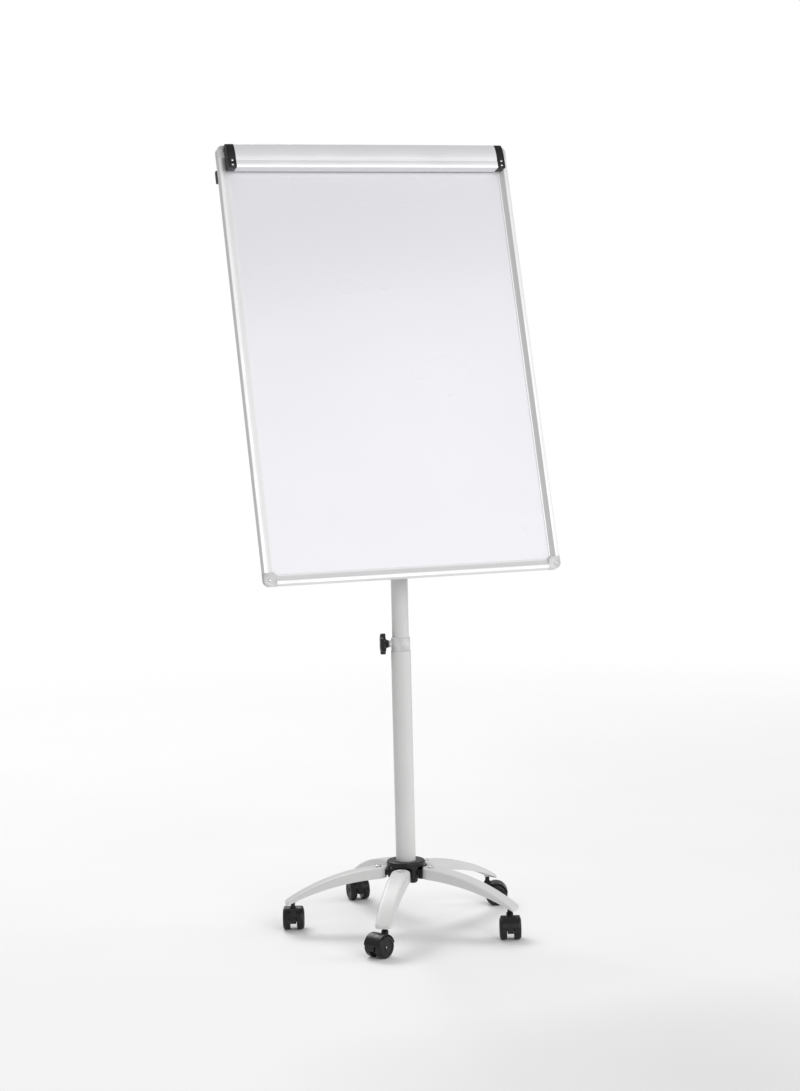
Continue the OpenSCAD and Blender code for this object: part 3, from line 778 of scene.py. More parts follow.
@dataclass(frozen=True)
class StudioFloor(Finish):
    """Plain pale studio floor that fades into the bright surround.

    Attributes:
        solid_r: Distance from the middle up to which the floor is solid.
        clear_r: Distance from the middle at which it has faded away.
    """

    solid_r: float = 1.0
    clear_r: float = 4.6

    def paint(self, graph: Graph) -> None:
        """Nearly white, very faintly uneven, and clearer with distance from the middle.

        Args:
            graph: The node tree to fill.
        """
        whites = (0.93, 0.93, 0.93), (0.95, 0.95, 0.95)
        graph.feed("Base Color", graph.mix(graph.noise(2, 3), *whites))
        graph.value(Roughness=0.6)
        nodes = graph.tree.nodes
        length = nodes.new("ShaderNodeVectorMath")
        length.operation = "LENGTH"
        graph.tree.links.new(graph.coords, length.inputs[0])
        fade = nodes.new("ShaderNodeMapRange")
        fade.interpolation_type = "SMOOTHSTEP"
        fade.inputs["From Min"].default_value = self.solid_r
        fade.inputs["From Max"].default_value = self.clear_r
        fade.inputs["To Min"].default_value = 1
        fade.inputs["To Max"].default_value = 0
        graph.tree.links.new(length.outputs["Value"], fade.inputs["Value"])
        graph.feed("Alpha", fade.outputs[0])


class Palette:
    """The finishes of the easel's pieces."""

    def __init__(self, lean: float) -> None:
        """Makes the finishes.

        Args:
            lean: The board's angle from the vertical in radians.
        """
        self.paint = PowderCoat("light_grey_paint", (0.68, 0.68, 0.675))
        self.dark_paint = PowderCoat("dark_grey_paint", (0.055, 0.056, 0.06), 0.42)
        self.black = Moulding("black_moulding", (0.009, 0.009, 0.01), 0.34)
        self.knob = Moulding("knob_moulding", (0.007, 0.007, 0.008), 0.3, 2200)
        self.wheel = Moulding("wheel_nylon", (0.01, 0.01, 0.011), 0.4, 1200)
        self.grey = Moulding("light_grey_moulding", (0.6, 0.6, 0.605), 0.4, 1800, 0.5)
        self.dark = Moulding("dark_acetal", (0.05, 0.05, 0.055), 0.35, 1800)
        self.across = DrawnAluminium("aluminium_drawn_across")
        # The slopes' greys are painted shade: the same aluminium as the strip, drawn darker, and
        # darker on the top and bottom rails than on the side rails.
        strip, slope = (0.82, 0.82, 0.83), (0.36, 0.36, 0.365)
        up = Grain.UP_THE_BOARD
        self.rail_across = DrawnAluminium("rail_strip_across", strip, 0.4, shine=0.3)
        self.rail_up = DrawnAluminium("rail_strip_up", strip, 0.4, up, lean, 0.3)
        self.slope_shade_across = DrawnAluminium("rail_slope_painted_shade_across", slope, 0.5, shine=0.15)
        self.slope_shade_up = DrawnAluminium("rail_slope_painted_shade_up", (0.56, 0.56, 0.565), 0.5, up, lean, 0.2)
        self.clamp = DrawnAluminium("aluminium_clamp_satin", (0.92, 0.92, 0.94), 0.34, shine=0.38)
        self.zinc = PlatedSteel("zinc_plated_steel")
        self.bright = PlatedSteel("bright_steel", (0.72, 0.72, 0.72), 0.2)
        self.blackened = PlatedSteel("blackened_steel", (0.035, 0.035, 0.038), 0.35)
        self.writing = WritingLacquer("writing_lacquer")
        self.rubber = Rubber("grip_rubber")
        self.core = FibreBoard("core_fibre")
        self.mill = MillSheet("back_mill_sheet")


# ------------------------------------------------------------------ shared parts


def screw_profile(head: float, height: float) -> list[Point2]:
    """Half outline of a pan head with a driver recess, from its seat up to its middle.

    Args:
        head: Diameter of the head.
        height: Height of the head.

    Returns:
        Points as (radius, height).
    """
    return [
        (0, 0),
        (head / 2, 0),
        (head / 2, height * 0.35),
        *arc(head / 2 - height * 0.65, height * 0.35, height * 0.65, 12, 80, 5),
        (head * 0.2, height),
        (head * 0.17, height * 0.55),
        (0, height * 0.5),
    ]


@dataclass
class StarKnob:
    """Hand knob with finger hollows round its rim.

    Attributes:
        diameter: Diameter over the lobes.
        thickness: Thickness of the head.
        neck: Length of the neck under the head.
        neck_diameter: Diameter of the neck.
        hollows: Number of finger hollows.
        dip: Depth of a hollow as a share of the radius.
        sharpness: Power that narrows the hollows; 1 makes a plain wave.
        rim_round: Rounding of the head's edges.
        flare: How far the neck widens at the head.
        flare_t: Thickness of the neck's wide end inside the head.
        steps: Corners of the head's outline.
    """

    diameter: float = 48 * MM
    thickness: float = 12 * MM
    neck: float = 7 * MM
    neck_diameter: float = 18 * MM
    hollows: int = 6
    dip: float = 0.2
    sharpness: float = 1.6
    rim_round: float = 2.4 * MM
    flare: float = 3 * MM
    flare_t: float = 2 * MM
    steps: int = 144

    def outline(self) -> list[Point2]:
        """Rim of the head: a circle that dips smoothly at each hollow.

        Returns:
            Points round the knob's axis.
        """
        points = []
        outer = self.diameter / 2
        for i in range(self.steps):
            turn = math.tau * i / self.steps
            lobe = 0.5 + 0.5 * math.cos(self.hollows * turn)
            r = outer * (1 - self.dip * lobe**self.sharpness)
            points.append((r * math.cos(turn), r * math.sin(turn)))
        return points

    def build(self, place: Matrix) -> Shape:
        """Head with rounded rim, neck with a step, and a dished cap on the outside.

        Args:
            place: Frame at the foot of the neck, with Z along the knob's axis.

        Returns:
            The shape of the knob.
        """
        shape = Shape()
        head = place @ Matrix.Translation((0, 0, self.neck))
        shape.prism(self.outline(), self.thickness, head, self.rim_round, 4, 50)
        half = self.neck_diameter / 2
        top = self.neck + self.thickness
        shape.lathe(
            [
                (0, 0), (half - 0.8 * MM, 0), (half, 0.8 * MM), (half, self.neck * 0.5),
                (half + self.flare, self.neck), (half + self.flare, self.neck + self.flare_t),
                (0, self.neck + self.flare_t),
            ],
            place,
        )
        cap = half - 1 * MM
        shape.lathe(
            [
                (0, top - 2 * MM), (cap, top - 2 * MM), (cap, top - 0.3 * MM),
                (cap - 0.6 * MM, top + 0.3 * MM), (cap - 2 * MM, top + 0.3 * MM),
                (cap - 3 * MM, top - 0.3 * MM), (0, top - 0.5 * MM),
            ],
            place,
        )
        return shape


# ------------------------------------------------------------------ base


@dataclass
class Base:
    """Five pressed legs on a moulded hub, with the lower column and its collar.

    Attributes:
        places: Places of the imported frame.
        palette: The finishes.
        crown_r: Distance from the column's axis at which a leg's top is level.
        crown_z: Height of a leg's top there.
        tip_z: Height of a leg's top at its tip.
        depth_in: Depth of a leg at the hub.
        depth_out: Depth of a leg at its tip.
        width_in: Width of a leg at the hub.
        width_out: Width of a leg at its tip.
        inner_r: Distance from the column's axis at which a leg starts.
        overhang: How far a leg reaches past its caster's stem.
        tip_round: Corner radius of the tip, seen from above.
        shoulder: Radius along a leg's upper edges.
        wall: Thickness of the pressed steel.
        screw_r: Distance of the leg screws from the column's axis.
        socket_bore_r: Inner radius of the stem's socket in a leg.
        socket_r: Outer radius of that socket.
        socket_drop: How far the socket stands out below the leg.
        socket_room: Room between the socket and the leg's top skin.
        collar_bore_r: Inner radius of the collar.
        collar_r: Outer radius of the collar's head.
        sleeve_r: Outer radius of its sleeve inside the lower tube.
        boss_bore_r: Inner radius of the boss for the height knob's stud.
        boss_r: Outer radius of the boss.
        boss_reach: How far the boss stands out of the collar.
        legs: Numbers of the legs.
    """

    places: Places
    palette: Palette
    crown_r: float = 40 * MM
    crown_z: float = 140 * MM
    tip_z: float = 69 * MM
    depth_in: float = 24 * MM
    depth_out: float = 7 * MM
    width_in: float = 43 * MM
    width_out: float = 38 * MM
    inner_r: float = 45 * MM
    overhang: float = 17 * MM
    tip_round: float = 8 * MM
    shoulder: float = 5 * MM
    wall: float = 2.5 * MM
    screw_r: float = 64 * MM
    socket_bore_r: float = 5 * MM
    socket_r: float = 8 * MM
    socket_drop: float = 2 * MM
    socket_room: float = 2.5 * MM
    collar_bore_r: float = 19.06 * MM
    collar_r: float = 21.5 * MM
    sleeve_r: float = 20.98 * MM
    boss_bore_r: float = 4 * MM
    boss_r: float = 8 * MM
    boss_reach: float = 5 * MM
    legs: range = field(default_factory=lambda: range(1, 6))

    def stem(self, i: int) -> Vector:
        """Foot of caster i's stem axis on the floor."""
        point = self.places.point(f"caster_{i}_swivel")
        return Vector((point.x, point.y, 0))

    def _curve(self, start: float, drop: float, r: float) -> float:
        """Height of an arc that starts level at the crown.

        Args:
            start: Height at the crown.
            drop: How far the arc falls to the leg's tip.
            r: Distance from the column's axis.

        Returns:
            The height at distance r.
        """
        run = self.stem(1).length + self.overhang - self.crown_r
        radius = (run * run + drop * drop) / (2 * drop)
        return start - radius + math.sqrt(radius**2 - (r - self.crown_r) ** 2)

    def top(self, r: float) -> float:
        """Height of a leg's top at distance r from the column."""
        return self._curve(self.crown_z, self.crown_z - self.tip_z, r)

    def bottom(self, r: float) -> float:
        """Height of a leg's lower edge at distance r from the column."""
        start = self.crown_z - self.depth_in
        return self._curve(start, start - self.tip_z + self.depth_out, r)

    def stations(self) -> list[Point2]:
        """Outline of a leg from above.

        Returns:
            Points as (distance, half width) from the hub to the tip.
        """
        half_in, half_out = self.width_in / 2, self.width_out / 2
        bend = self.inner_r + half_in
        end = self.stem(1).length + self.overhang
        inner = [(x, y) for x, y in arc(bend, 0, half_in, 180, 90, 10)]
        along = 26
        middle = []
        for k in range(1, along):
            t = k / along
            r = bend + (end - self.tip_round - bend) * t
            middle.append((r, half_in + (half_out - half_in) * t))
        corner = arc(end - self.tip_round, half_out - self.tip_round, self.tip_round, 90, 0, 6)
        face = [(end, (half_out - self.tip_round) * (1 - k / 4)) for k in range(1, 5)]
        return inner + middle + corner + face

    def leg(self, i: int) -> bpy.types.Object:
        """One leg: a bent grid that becomes a shell with rounded shoulders.

        Args:
            i: Number of the leg, from 1.

        Returns:
            The finished piece.
        """
        stations = self.stations()
        sides, turn_steps, flat = 3, 5, 6
        columns = 2 * (sides + turn_steps) + flat + 1
        bm = bmesh.new()
        bmesh.ops.create_grid(
            bm, x_segments=len(stations) - 1, y_segments=columns - 1, size=1
        )
        for v in bm.verts:
            k = round((v.co.x + 1) / 2 * (len(stations) - 1))
            j = round((v.co.y + 1) / 2 * (columns - 1))
            v.co = self._leg_point(*stations[k], j, sides, turn_steps, flat)
        bmesh.ops.remove_doubles(bm, verts=bm.verts, dist=2e-6)
        bmesh.ops.recalc_face_normals(bm, faces=bm.faces)
        top_face = max(bm.faces, key=lambda f: f.calc_center_median().z)
        if top_face.normal.z < 0:
            bmesh.ops.reverse_faces(bm, faces=bm.faces)
        bmesh.ops.solidify(bm, geom=bm.faces[:], thickness=self.wall)
        bmesh.ops.recalc_face_normals(bm, faces=bm.faces)
        turn = math.atan2(self.stem(i).y, self.stem(i).x)
        shape = Shape()
        shape.add(bm, Matrix.Rotation(turn, 4, "Z"))
        stem_r = self.stem(i).length
        socket = Matrix.Rotation(turn, 4, "Z") @ Matrix.Translation((stem_r, 0, 0))
        low = self.bottom(stem_r) - self.socket_drop
        high = self.top(stem_r) - self.wall - self.socket_room
        bore, outer, edge = self.socket_bore_r, self.socket_r, 0.6 * MM
        shape.lathe(
            [
                (bore, high), (bore, low), (bore + edge, low - edge), (outer - edge, low - edge),
                (outer, low), (outer, high),
            ],
            socket, 48, True,
        )
        return shape.make(f"leg_{i}_pressing", self.palette.paint, 40)

    def _leg_point(
        self, r: float, half: float, j: int, sides: int, turn_steps: int, flat: int
    ) -> Vector:
        """One point of a leg's skin.

        Args:
            r: Distance from the column's axis.
            half: Half the leg's width there.
            j: Place across the leg, counted from one lower edge to the other.
            sides: Steps up each side.
            turn_steps: Steps round each shoulder.
            flat: Steps across the top.

        Returns:
            The point, for a leg along X.
        """
        last = 2 * (sides + turn_steps) + flat
        mirrored = j > last / 2
        k = last - j if mirrored else j
        round_r = min(self.shoulder, max(half, 0))
        top, low = self.top(r), self.bottom(r)
        round_z = min(self.shoulder, (top - low) * 0.45)
        if k <= sides:
            y, z = half, low + (top - round_z - low) * k / sides
        elif k <= sides + turn_steps:
            a = math.pi / 2 * (k - sides) / turn_steps
            y = half - round_r * (1 - math.cos(a))
            z = top - round_z * (1 - math.sin(a))
        else:
            t = (k - sides - turn_steps) / (flat / 2)
            y, z = (half - round_r) * (1 - t), top
        return Vector((r, y if mirrored else -y, z))

    def hub(self) -> None:
        """Hub moulding: the CAD form, melted so that its claws blend into the ring."""
        hub = Shape().from_cad("base_hub", 0).make("hub_moulding", self.palette.black)
        melt(hub, 1.0 * MM, 5)
        fit(hub, "base", Slot.BLACK_PLASTIC, "base_hub")

    def fasteners(self) -> None:
        """Leg screws, the bolt under the column and the caster stems."""
        shape = Shape()
        for i in self.legs:
            way = self.stem(i).normalized()
            seat = way * self.screw_r + Vector((0, 0, self.top(self.screw_r - 5 * MM)))
            shape.lathe(screw_profile(13 * MM, 3.5 * MM), Matrix.Translation(seat), 40)
        screws = shape.make("leg_screw_heads", self.palette.zinc)
        fit(screws, "base", Slot.STEEL, "leg_screws")
        bolt = Shape().from_cad("column_bolt", 0.5 * MM).make("column_bolt_m10", self.palette.zinc)
        fit(bolt, "base", Slot.STEEL, "column_bolt")
        stems = Shape().from_cad("caster_stems", 0.4 * MM)
        stems = stems.make("stem_pins", self.palette.blackened)
        fit(stems, "base", Slot.DARK_STEEL, "caster_stems")

    def column(self) -> None:
        """Lower tube and the collar that guides the upper one."""
        low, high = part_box("lower_column")
        outer = (high.x - low.x) / 2
        inner = outer - TUBE_WALL
        edge = TUBE_EDGE
        tube = Shape().lathe(
            [
                (inner, low.z), (outer, low.z), (outer, high.z - edge),
                (outer - edge, high.z), (inner + edge, high.z), (inner, high.z - edge),
            ],
            Matrix(), 96, True,
        )
        fit(tube.make("lower_tube", self.palette.paint), "base", Slot.PAINTED_STEEL, "lower_column")
        self._collar()

    def _collar(self) -> None:
        """Collar: a plastic ring with a lead-in on top and a boss for the stud."""
        low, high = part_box("column_collar")
        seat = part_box("lower_column")[1].z
        bore, outer, sleeve = self.collar_bore_r, self.collar_r, self.sleeve_r
        shape = Shape()
        shape.lathe(
            [
                (bore, low.z), (sleeve, low.z), (sleeve, seat), (outer - 0.5 * MM, seat),
                (outer, seat + 0.6 * MM), (outer, high.z - 2 * MM),
                *arc(outer - 1.6 * MM, high.z - 1.6 * MM, 1.6 * MM, 0, 90, 5),
                (bore + 0.5 * MM, high.z), (bore, high.z - 0.6 * MM),
            ],
            Matrix(), 96, True,
        )
        knob = "height_knob_turn"
        boss = axis_matrix(self.places.point(knob), self.places.axis(knob))
        hole, rim = self.boss_bore_r, self.boss_r
        start, end = outer - 2 * MM, outer + self.boss_reach
        shape.lathe(
            [
                (hole, start), (rim, start), (rim, end - 0.8 * MM), (rim - 0.8 * MM, end),
                (hole + 0.4 * MM, end), (hole, end - 0.4 * MM),
            ],
            boss, 48, True,
        )
        piece = shape.make("collar_moulding", self.palette.grey)
        fit(piece, "base", Slot.GREY_PLASTIC, "column_collar")

    def build(self) -> None:
        """Builds the whole base."""
        for i in self.legs:
            fit(self.leg(i), "base", Slot.PAINTED_STEEL, f"leg_{i}")
        self.hub()
        self.fasteners()
        self.column()


# ------------------------------------------------------------------ casters


@dataclass
class Caster:
    """Twin-wheel caster under one leg.

    Attributes:
        places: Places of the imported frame.
        palette: The finishes.
        number: Number of the caster, from 1.
        wheel_r: Radius of a wheel.
        wheel_w: Width of a wheel.
        gap: Gap between the two wheels, where the hood's web stands.
        shoulder: Radius of the tread's outer shoulder.
        bore_r: Inner radius of a wheel.
        axle_r: Radius of the axle.
        axle_inset: How far the axle's end lies inside the wheel's face.
    """

    places: Places
    palette: Palette
    number: int
    wheel_r: float = 25 * MM
    wheel_w: float = 16 * MM
    gap: float = 16 * MM
    shoulder: float = 5.5 * MM
    bore_r: float = 3.1 * MM
    axle_r: float = 3 * MM
    axle_inset: float = 2.5 * MM

    def axle_frame(self) -> Matrix:
        """Frame at the middle of the axle.

        Returns:
            The frame's matrix, with Z along the axle and X level.
        """
        spin = f"wheels_{self.number}_spin"
        middle = self.places.point(spin)
        axis = self.places.axis(spin)
        return frame_matrix(middle, axis.cross(Vector((0, 0, 1))), axis)

    def wheel_profile(self) -> list[Point2]:
        """Half section of one wheel: a crowned tread, a stepped rim and a dished disc.

        Returns:
            Points as (radius, distance along the axle), round the section.
        """
        r, start = self.wheel_r, self.gap / 2
        end = start + self.wheel_w
        curve = self.shoulder
        return [
            (self.bore_r, start), (r - 4 * MM, start),
            *arc(r - 2 * MM, start + 2 * MM, 2 * MM, -80, 0, 5),
            *arc(r - curve, end - curve, curve, 0, 84, 9),
            (r - curve - 1.2 * MM, end), (r - curve - 1.9 * MM, end - 0.5 * MM),
            (r - curve - 2.3 * MM, end - 1.6 * MM), (r - curve - 3.4 * MM, end - 2 * MM),
            (8.4 * MM, end - 1.5 * MM), (7.8 * MM, end - 1.1 * MM), (7.4 * MM, end - 0.3 * MM),
            (6.8 * MM, end), (4.4 * MM, end), (3.8 * MM, end - 0.3 * MM),
            (self.bore_r, end - 1.2 * MM),
        ]

    def build(self) -> None:
        """Builds the hood, the axle and the pair of wheels."""
        i = self.number
        hood = Shape().from_cad(f"caster_{i}_hood", 0)
        hood = hood.make(f"caster_{i}_hood_moulding", self.palette.black)
        melt(hood, 0.7 * MM, 4)
        fit(hood, f"caster_{i}", Slot.BLACK_PLASTIC, f"caster_{i}_hood")
        place = self.axle_frame()
        pair = Shape()
        for side in (Matrix(), Matrix.Rotation(math.pi, 4, "X")):
            pair.lathe(self.wheel_profile(), place @ side, 72, True)
        wheels = pair.make(f"caster_{i}_wheel_pair", self.palette.wheel, 30)
        fit(wheels, f"wheels_{i}", Slot.WHEEL_PLASTIC, f"caster_{i}_wheels")
        half = self.gap / 2 + self.wheel_w - self.axle_inset
        r, edge = self.axle_r, 0.4 * MM
        axle = Shape().lathe(
            [(0, -half), (r - edge, -half), (r, edge - half), (r, half - edge), (r - edge, half),
             (0, half)],
            place, 32,
        )
        axle = axle.make(f"caster_{i}_axle_pin", self.palette.bright)
        fit(axle, f"caster_{i}", Slot.STEEL, f"caster_{i}_axle")


# ------------------------------------------------------------------ mast


@dataclass
class Mast:
    """Upper tube, its bush and head, and the height knob.

    Attributes:
        places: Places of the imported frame.
        palette: The finishes.
        knob_start: Distance of the height knob's neck from the column's axis.
    """

    places: Places
    palette: Palette
    knob_start: float = 27.5 * MM

    def build(self) -> None:
        """Builds what slides, swivels and clamps on the column."""
        low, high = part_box("upper_column")
        outer = (high.x - low.x) / 2
        inner = outer - TUBE_WALL
        edge = TUBE_EDGE
        tube = Shape().lathe(
            [
                (inner, low.z), (outer, low.z), (outer, high.z - edge),
                (outer - edge, high.z), (inner, high.z),
            ],
            Matrix(), 96, True,
        )
        tube = tube.make("upper_tube", self.palette.paint)
        fit(tube, "mast", Slot.PAINTED_STEEL, "upper_column")
        head = Shape().from_cad("column_head", 0.9 * MM, 3, 40)
        head = head.make("mast_head", self.palette.dark_paint)
        fit(head, "mast", Slot.DARK_STEEL, "column_head")
        bush = Shape().from_cad("guide_bush", 0.4 * MM).make("bush_moulding", self.palette.dark)
        fit(bush, "guide", Slot.DARK_PLASTIC, "guide_bush")
        self._height_knob()

    def _height_knob(self) -> None:
        """The knob whose stud clamps the upper tube."""
        axis = self.places.axis("height_knob_turn")
        foot = self.places.point("height_knob_turn") + axis * self.knob_start
        place = axis_matrix(foot, axis)
        knob = StarKnob().build(place).make("height_knob_head", self.palette.knob)
        fit(knob, "knob", Slot.BLACK_PLASTIC, "height_knob")
        stud = Shape().from_cad("height_stud", 0.4 * MM).make("height_stud_pin", self.palette.zinc)
        fit(stud, "knob", Slot.STEEL, "height_stud")


# ------------------------------------------------------------------ board


@dataclass
class Board:
    """The framed writing board, its back and the tilt joint.

    Attributes:
        places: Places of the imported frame.
        palette: The finishes.
        width: Width over the frame.
        height: Height over the frame.
        rail_w: Width of a rail on the front.
        rail_t: Depth of a rail.
        strip_w: Width of the flat strip along a rail's outer edge.
        slope_end: Distance of the slope's foot from a rail's inner edge.
        lip_t: Thickness of the inner lip over the writing sheet.
        back_w: Width of a rail at its back.
        slot_start: Distance of the panel's slot from a rail's outer edge.
        panel_t: Thickness of the panel in the slot.
        recess: How far the writing surface lies behind the frame's front.
        corner: Length of a corner that its cap takes from each rail.
        knob_d: Diameter of the tilt knob.
        surface_up: Height of the writing surface's mount up the board.
        frame: X across, Y up the board, Z out of its front, from the lower edge's middle.
    """

    places: Places
    palette: Palette
    width: float = 700 * MM
    height: float = 1009 * MM
    rail_w: float = 24.5 * MM
    rail_t: float = 17 * MM
    strip_w: float = 10 * MM
    slope_end: float = 3 * MM
    lip_t: float = 1.1 * MM
    back_w: float = 20 * MM
    slot_start: float = 10 * MM
    panel_t: float = 8.5 * MM
    recess: float = 5 * MM
    corner: float = 29 * MM
    knob_d: float = 40 * MM
    surface_up: float = 500 * MM
    frame: Matrix = field(init=False)

    def __post_init__(self) -> None:
        """Finds the board's frame from the writing surface's mount."""
        surface, out = self.places.mount("writing_surface")
        across = Vector((1, 0, 0))
        up = out.cross(across)
        origin = surface + out * self.recess - up * self.surface_up
        self.frame = frame_matrix(origin, across, out)

    def across(self, y: float = 0, z: float = 0, start: float = 0) -> Matrix:
        """Frame for an outline of (up the board, out of its front), extruded along X.

        Args:
            y: Distance up the board of the outline's origin.
            z: Distance out of its front.
            start: Where along X the extrusion starts.

        Returns:
            The frame's matrix.
        """
        return self.frame @ Matrix.Translation((start, y, z)) @ UP_AND_OUT

    def rail_outline(self) -> list[Point2]:
        """Section of a rail.

        Returns:
            Points as (from the outer edge inwards, out of the front), round the section.
        """
        w, t = self.rail_w, self.rail_t
        bead = 3 * MM
        step = self.lip_t - self.recess
        start, end = self.strip_w, w - self.slope_end
        slot = self.recess + self.panel_t
        return [
            *arc(1.2 * MM, -t + 1.2 * MM, 1.2 * MM, 270, 180, 4),
            *arc(bead, -bead, bead, 180, 90, 8),
            (start - 0.6 * MM, 0), (start, -0.1 * MM), (start + 0.5 * MM, -0.35 * MM),
            (end - 1.2 * MM, step + 0.35 * MM), (end - 0.4 * MM, step + 0.1 * MM), (end, step),
            (w - 0.5 * MM, step), (w - 0.15 * MM, step - 0.15 * MM), (w, step - 0.5 * MM),
            (w, -self.recess), (self.slot_start, -self.recess), (self.slot_start, -slot),
            (self.back_w, -slot), (self.back_w, -t),
        ]

    def rails(self) -> None:
        """Four drawn rails between the corner caps."""
        outline = self.rail_outline()
        side_len = self.height - 2 * self.corner
        for name, node, flip in (
            ("rail_left", "frame_left", 1), ("rail_right", "frame_right", -1),
        ):
            mirror = Matrix.Diagonal((flip, 1, 1, 1))
            place = self.frame @ mirror @ Matrix.Translation(
                (-self.width / 2, self.height - self.corner, 0)
            ) @ ACROSS_AND_OUT
            finishes = (self.palette.rail_up, self.palette.slope_shade_up)
            self._rail(name, node, outline, side_len, place, finishes)
        end_len = self.width - 2 * self.corner
        for name, node, flip, y in (
            ("rail_bottom", "frame_bottom", 1, 0), ("rail_top", "frame_top", -1, self.height),
        ):
            mirror = Matrix.Translation((0, y, 0)) @ Matrix.Diagonal((1, flip, 1, 1))
            place = self.frame @ mirror @ Matrix.Translation((-end_len / 2, 0, 0)) @ UP_AND_OUT
            finishes = (self.palette.rail_across, self.palette.slope_shade_across)
            self._rail(name, node, outline, end_len, place, finishes)

    def _rail(
        self, name: str, node: str, outline: list[Point2], length: float, place: Matrix,
        finishes: tuple[Finish, Finish],
    ) -> None:
        """One rail, extruded in place.

        Args:
            name: Name of the piece.
            node: CAD node that it stands for.
            outline: Its section.
            length: Its length.
            place: Frame of the section.
            finishes: The finish of the rail, and a darker copy for the slope on its front, whose
                grey is painted shade.
        """
        shape = Shape().prism(outline, length, place)
        out, front = self.frame.col[2].xyz, self.frame.translation
        # Faces of the slope on the front take the second slot, a darker grey that is painted shade.
        for face in shape.bm.faces:
            facing = face.normal.dot(out)
            depth = (front - face.calc_center_median()).dot(out)
            if 0.9 < facing < 0.99 and 1 * MM < depth < self.recess:
                face.material_index = 1
        rail = shape.make(name, finishes[0], 28)
        rail.data.materials.append(finishes[1].material())
        fit(rail, "board", Slot.ALUMINIUM, node)

    def panel(self) -> None:
        """Writing sheet, core and back sheet; the sheets keep their CAD form."""
        for node, finish in (
            ("writing_sheet", self.palette.writing), ("board_core", self.palette.core),
            ("back_sheet", self.palette.mill),
        ):
            self.dress(node, finish)

    def dress(self, node: str, finish: Finish) -> None:
        """Gives a CAD node that keeps its form a finish.

        Args:
            node: The CAD node.
            finish: Its material.
        """
        slots = frame["nodes"][node].data.materials
        slots.clear()
        slots.append(finish.material())
        LOG.info("%s keeps its CAD form", node)

    def soften(
        self, node: str, name: str, finish: Finish, slot: Slot, bevel: float, body: str = "board",
        segments: int = 2,
    ) -> None:
        """A bevelled copy of a CAD node stands for it.

        Args:
            node: The CAD node.
            name: Name of the piece.
            finish: Its material.
            slot: The record's material slot.
            bevel: Width of the bevel in metres.
            body: The body that it rides on.
            segments: Strips in the bevel.
        """
        shape = Shape().from_cad(node, bevel, segments)
        fit(shape.make(name, finish), body, slot, node)

    def back(self) -> None:
        """Corner caps, screws, the back channel, the arm guide and the tilt joint."""
        p = self.palette
        self.soften(
            "corner_caps", "corner_mouldings", p.grey, Slot.GREY_PLASTIC, 1.2 * MM, segments=3
        )
        self.soften("corner_screws", "corner_screw_heads", p.zinc, Slot.STEEL, 0.25 * MM)
        self.soften("back_channel", "channel_pressing", p.zinc, Slot.STEEL, 0.6 * MM)
        self.soften("arm_guide", "arm_guide_rail", p.across, Slot.ALUMINIUM, 0.5 * MM)
        self.soften("guide_tabs", "guide_tab_plates", p.zinc, Slot.STEEL, 0.3 * MM)
        self.soften("back_screws", "back_screw_heads", p.zinc, Slot.STEEL, 0.25 * MM)
        self.soften(
            "tilt_bracket", "tilt_ears", p.dark_paint, Slot.DARK_STEEL, 0.7 * MM, segments=3
        )
        self.soften("tilt_bolt", "tilt_bolt_m10", p.zinc, Slot.STEEL, 0.5 * MM)
        axis = self.places.axis("tilt_knob_turn")
        point = self.places.point("tilt_knob_turn")
        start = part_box("tilt_knob")[0].x - point.x
        place = axis_matrix(point + axis * start, axis)
        knob = StarKnob(diameter=self.knob_d).build(place).make("tilt_knob_head", p.knob)
        fit(knob, "tilt_clamp", Slot.BLACK_PLASTIC, "tilt_knob")

    def arms(self) -> None:
        """Two display arms with their end caps."""
        for side, body in (("left", "arm_l"), ("right", "arm_r")):
            self.soften(
                f"arm_{side}", f"arm_{side}_bar", self.palette.across, Slot.ALUMINIUM,
                0.5 * MM, body,
            )
            self.soften(
                f"arm_cap_{side}", f"arm_{side}_end", self.palette.black, Slot.BLACK_PLASTIC,
                1.0 * MM, body, 3,
            )

    def build(self) -> None:
        """Builds the board with its back and arms."""
        self.panel()
        self.rails()
        self.back()
        self.arms()


# ------------------------------------------------------------------ paper clamp


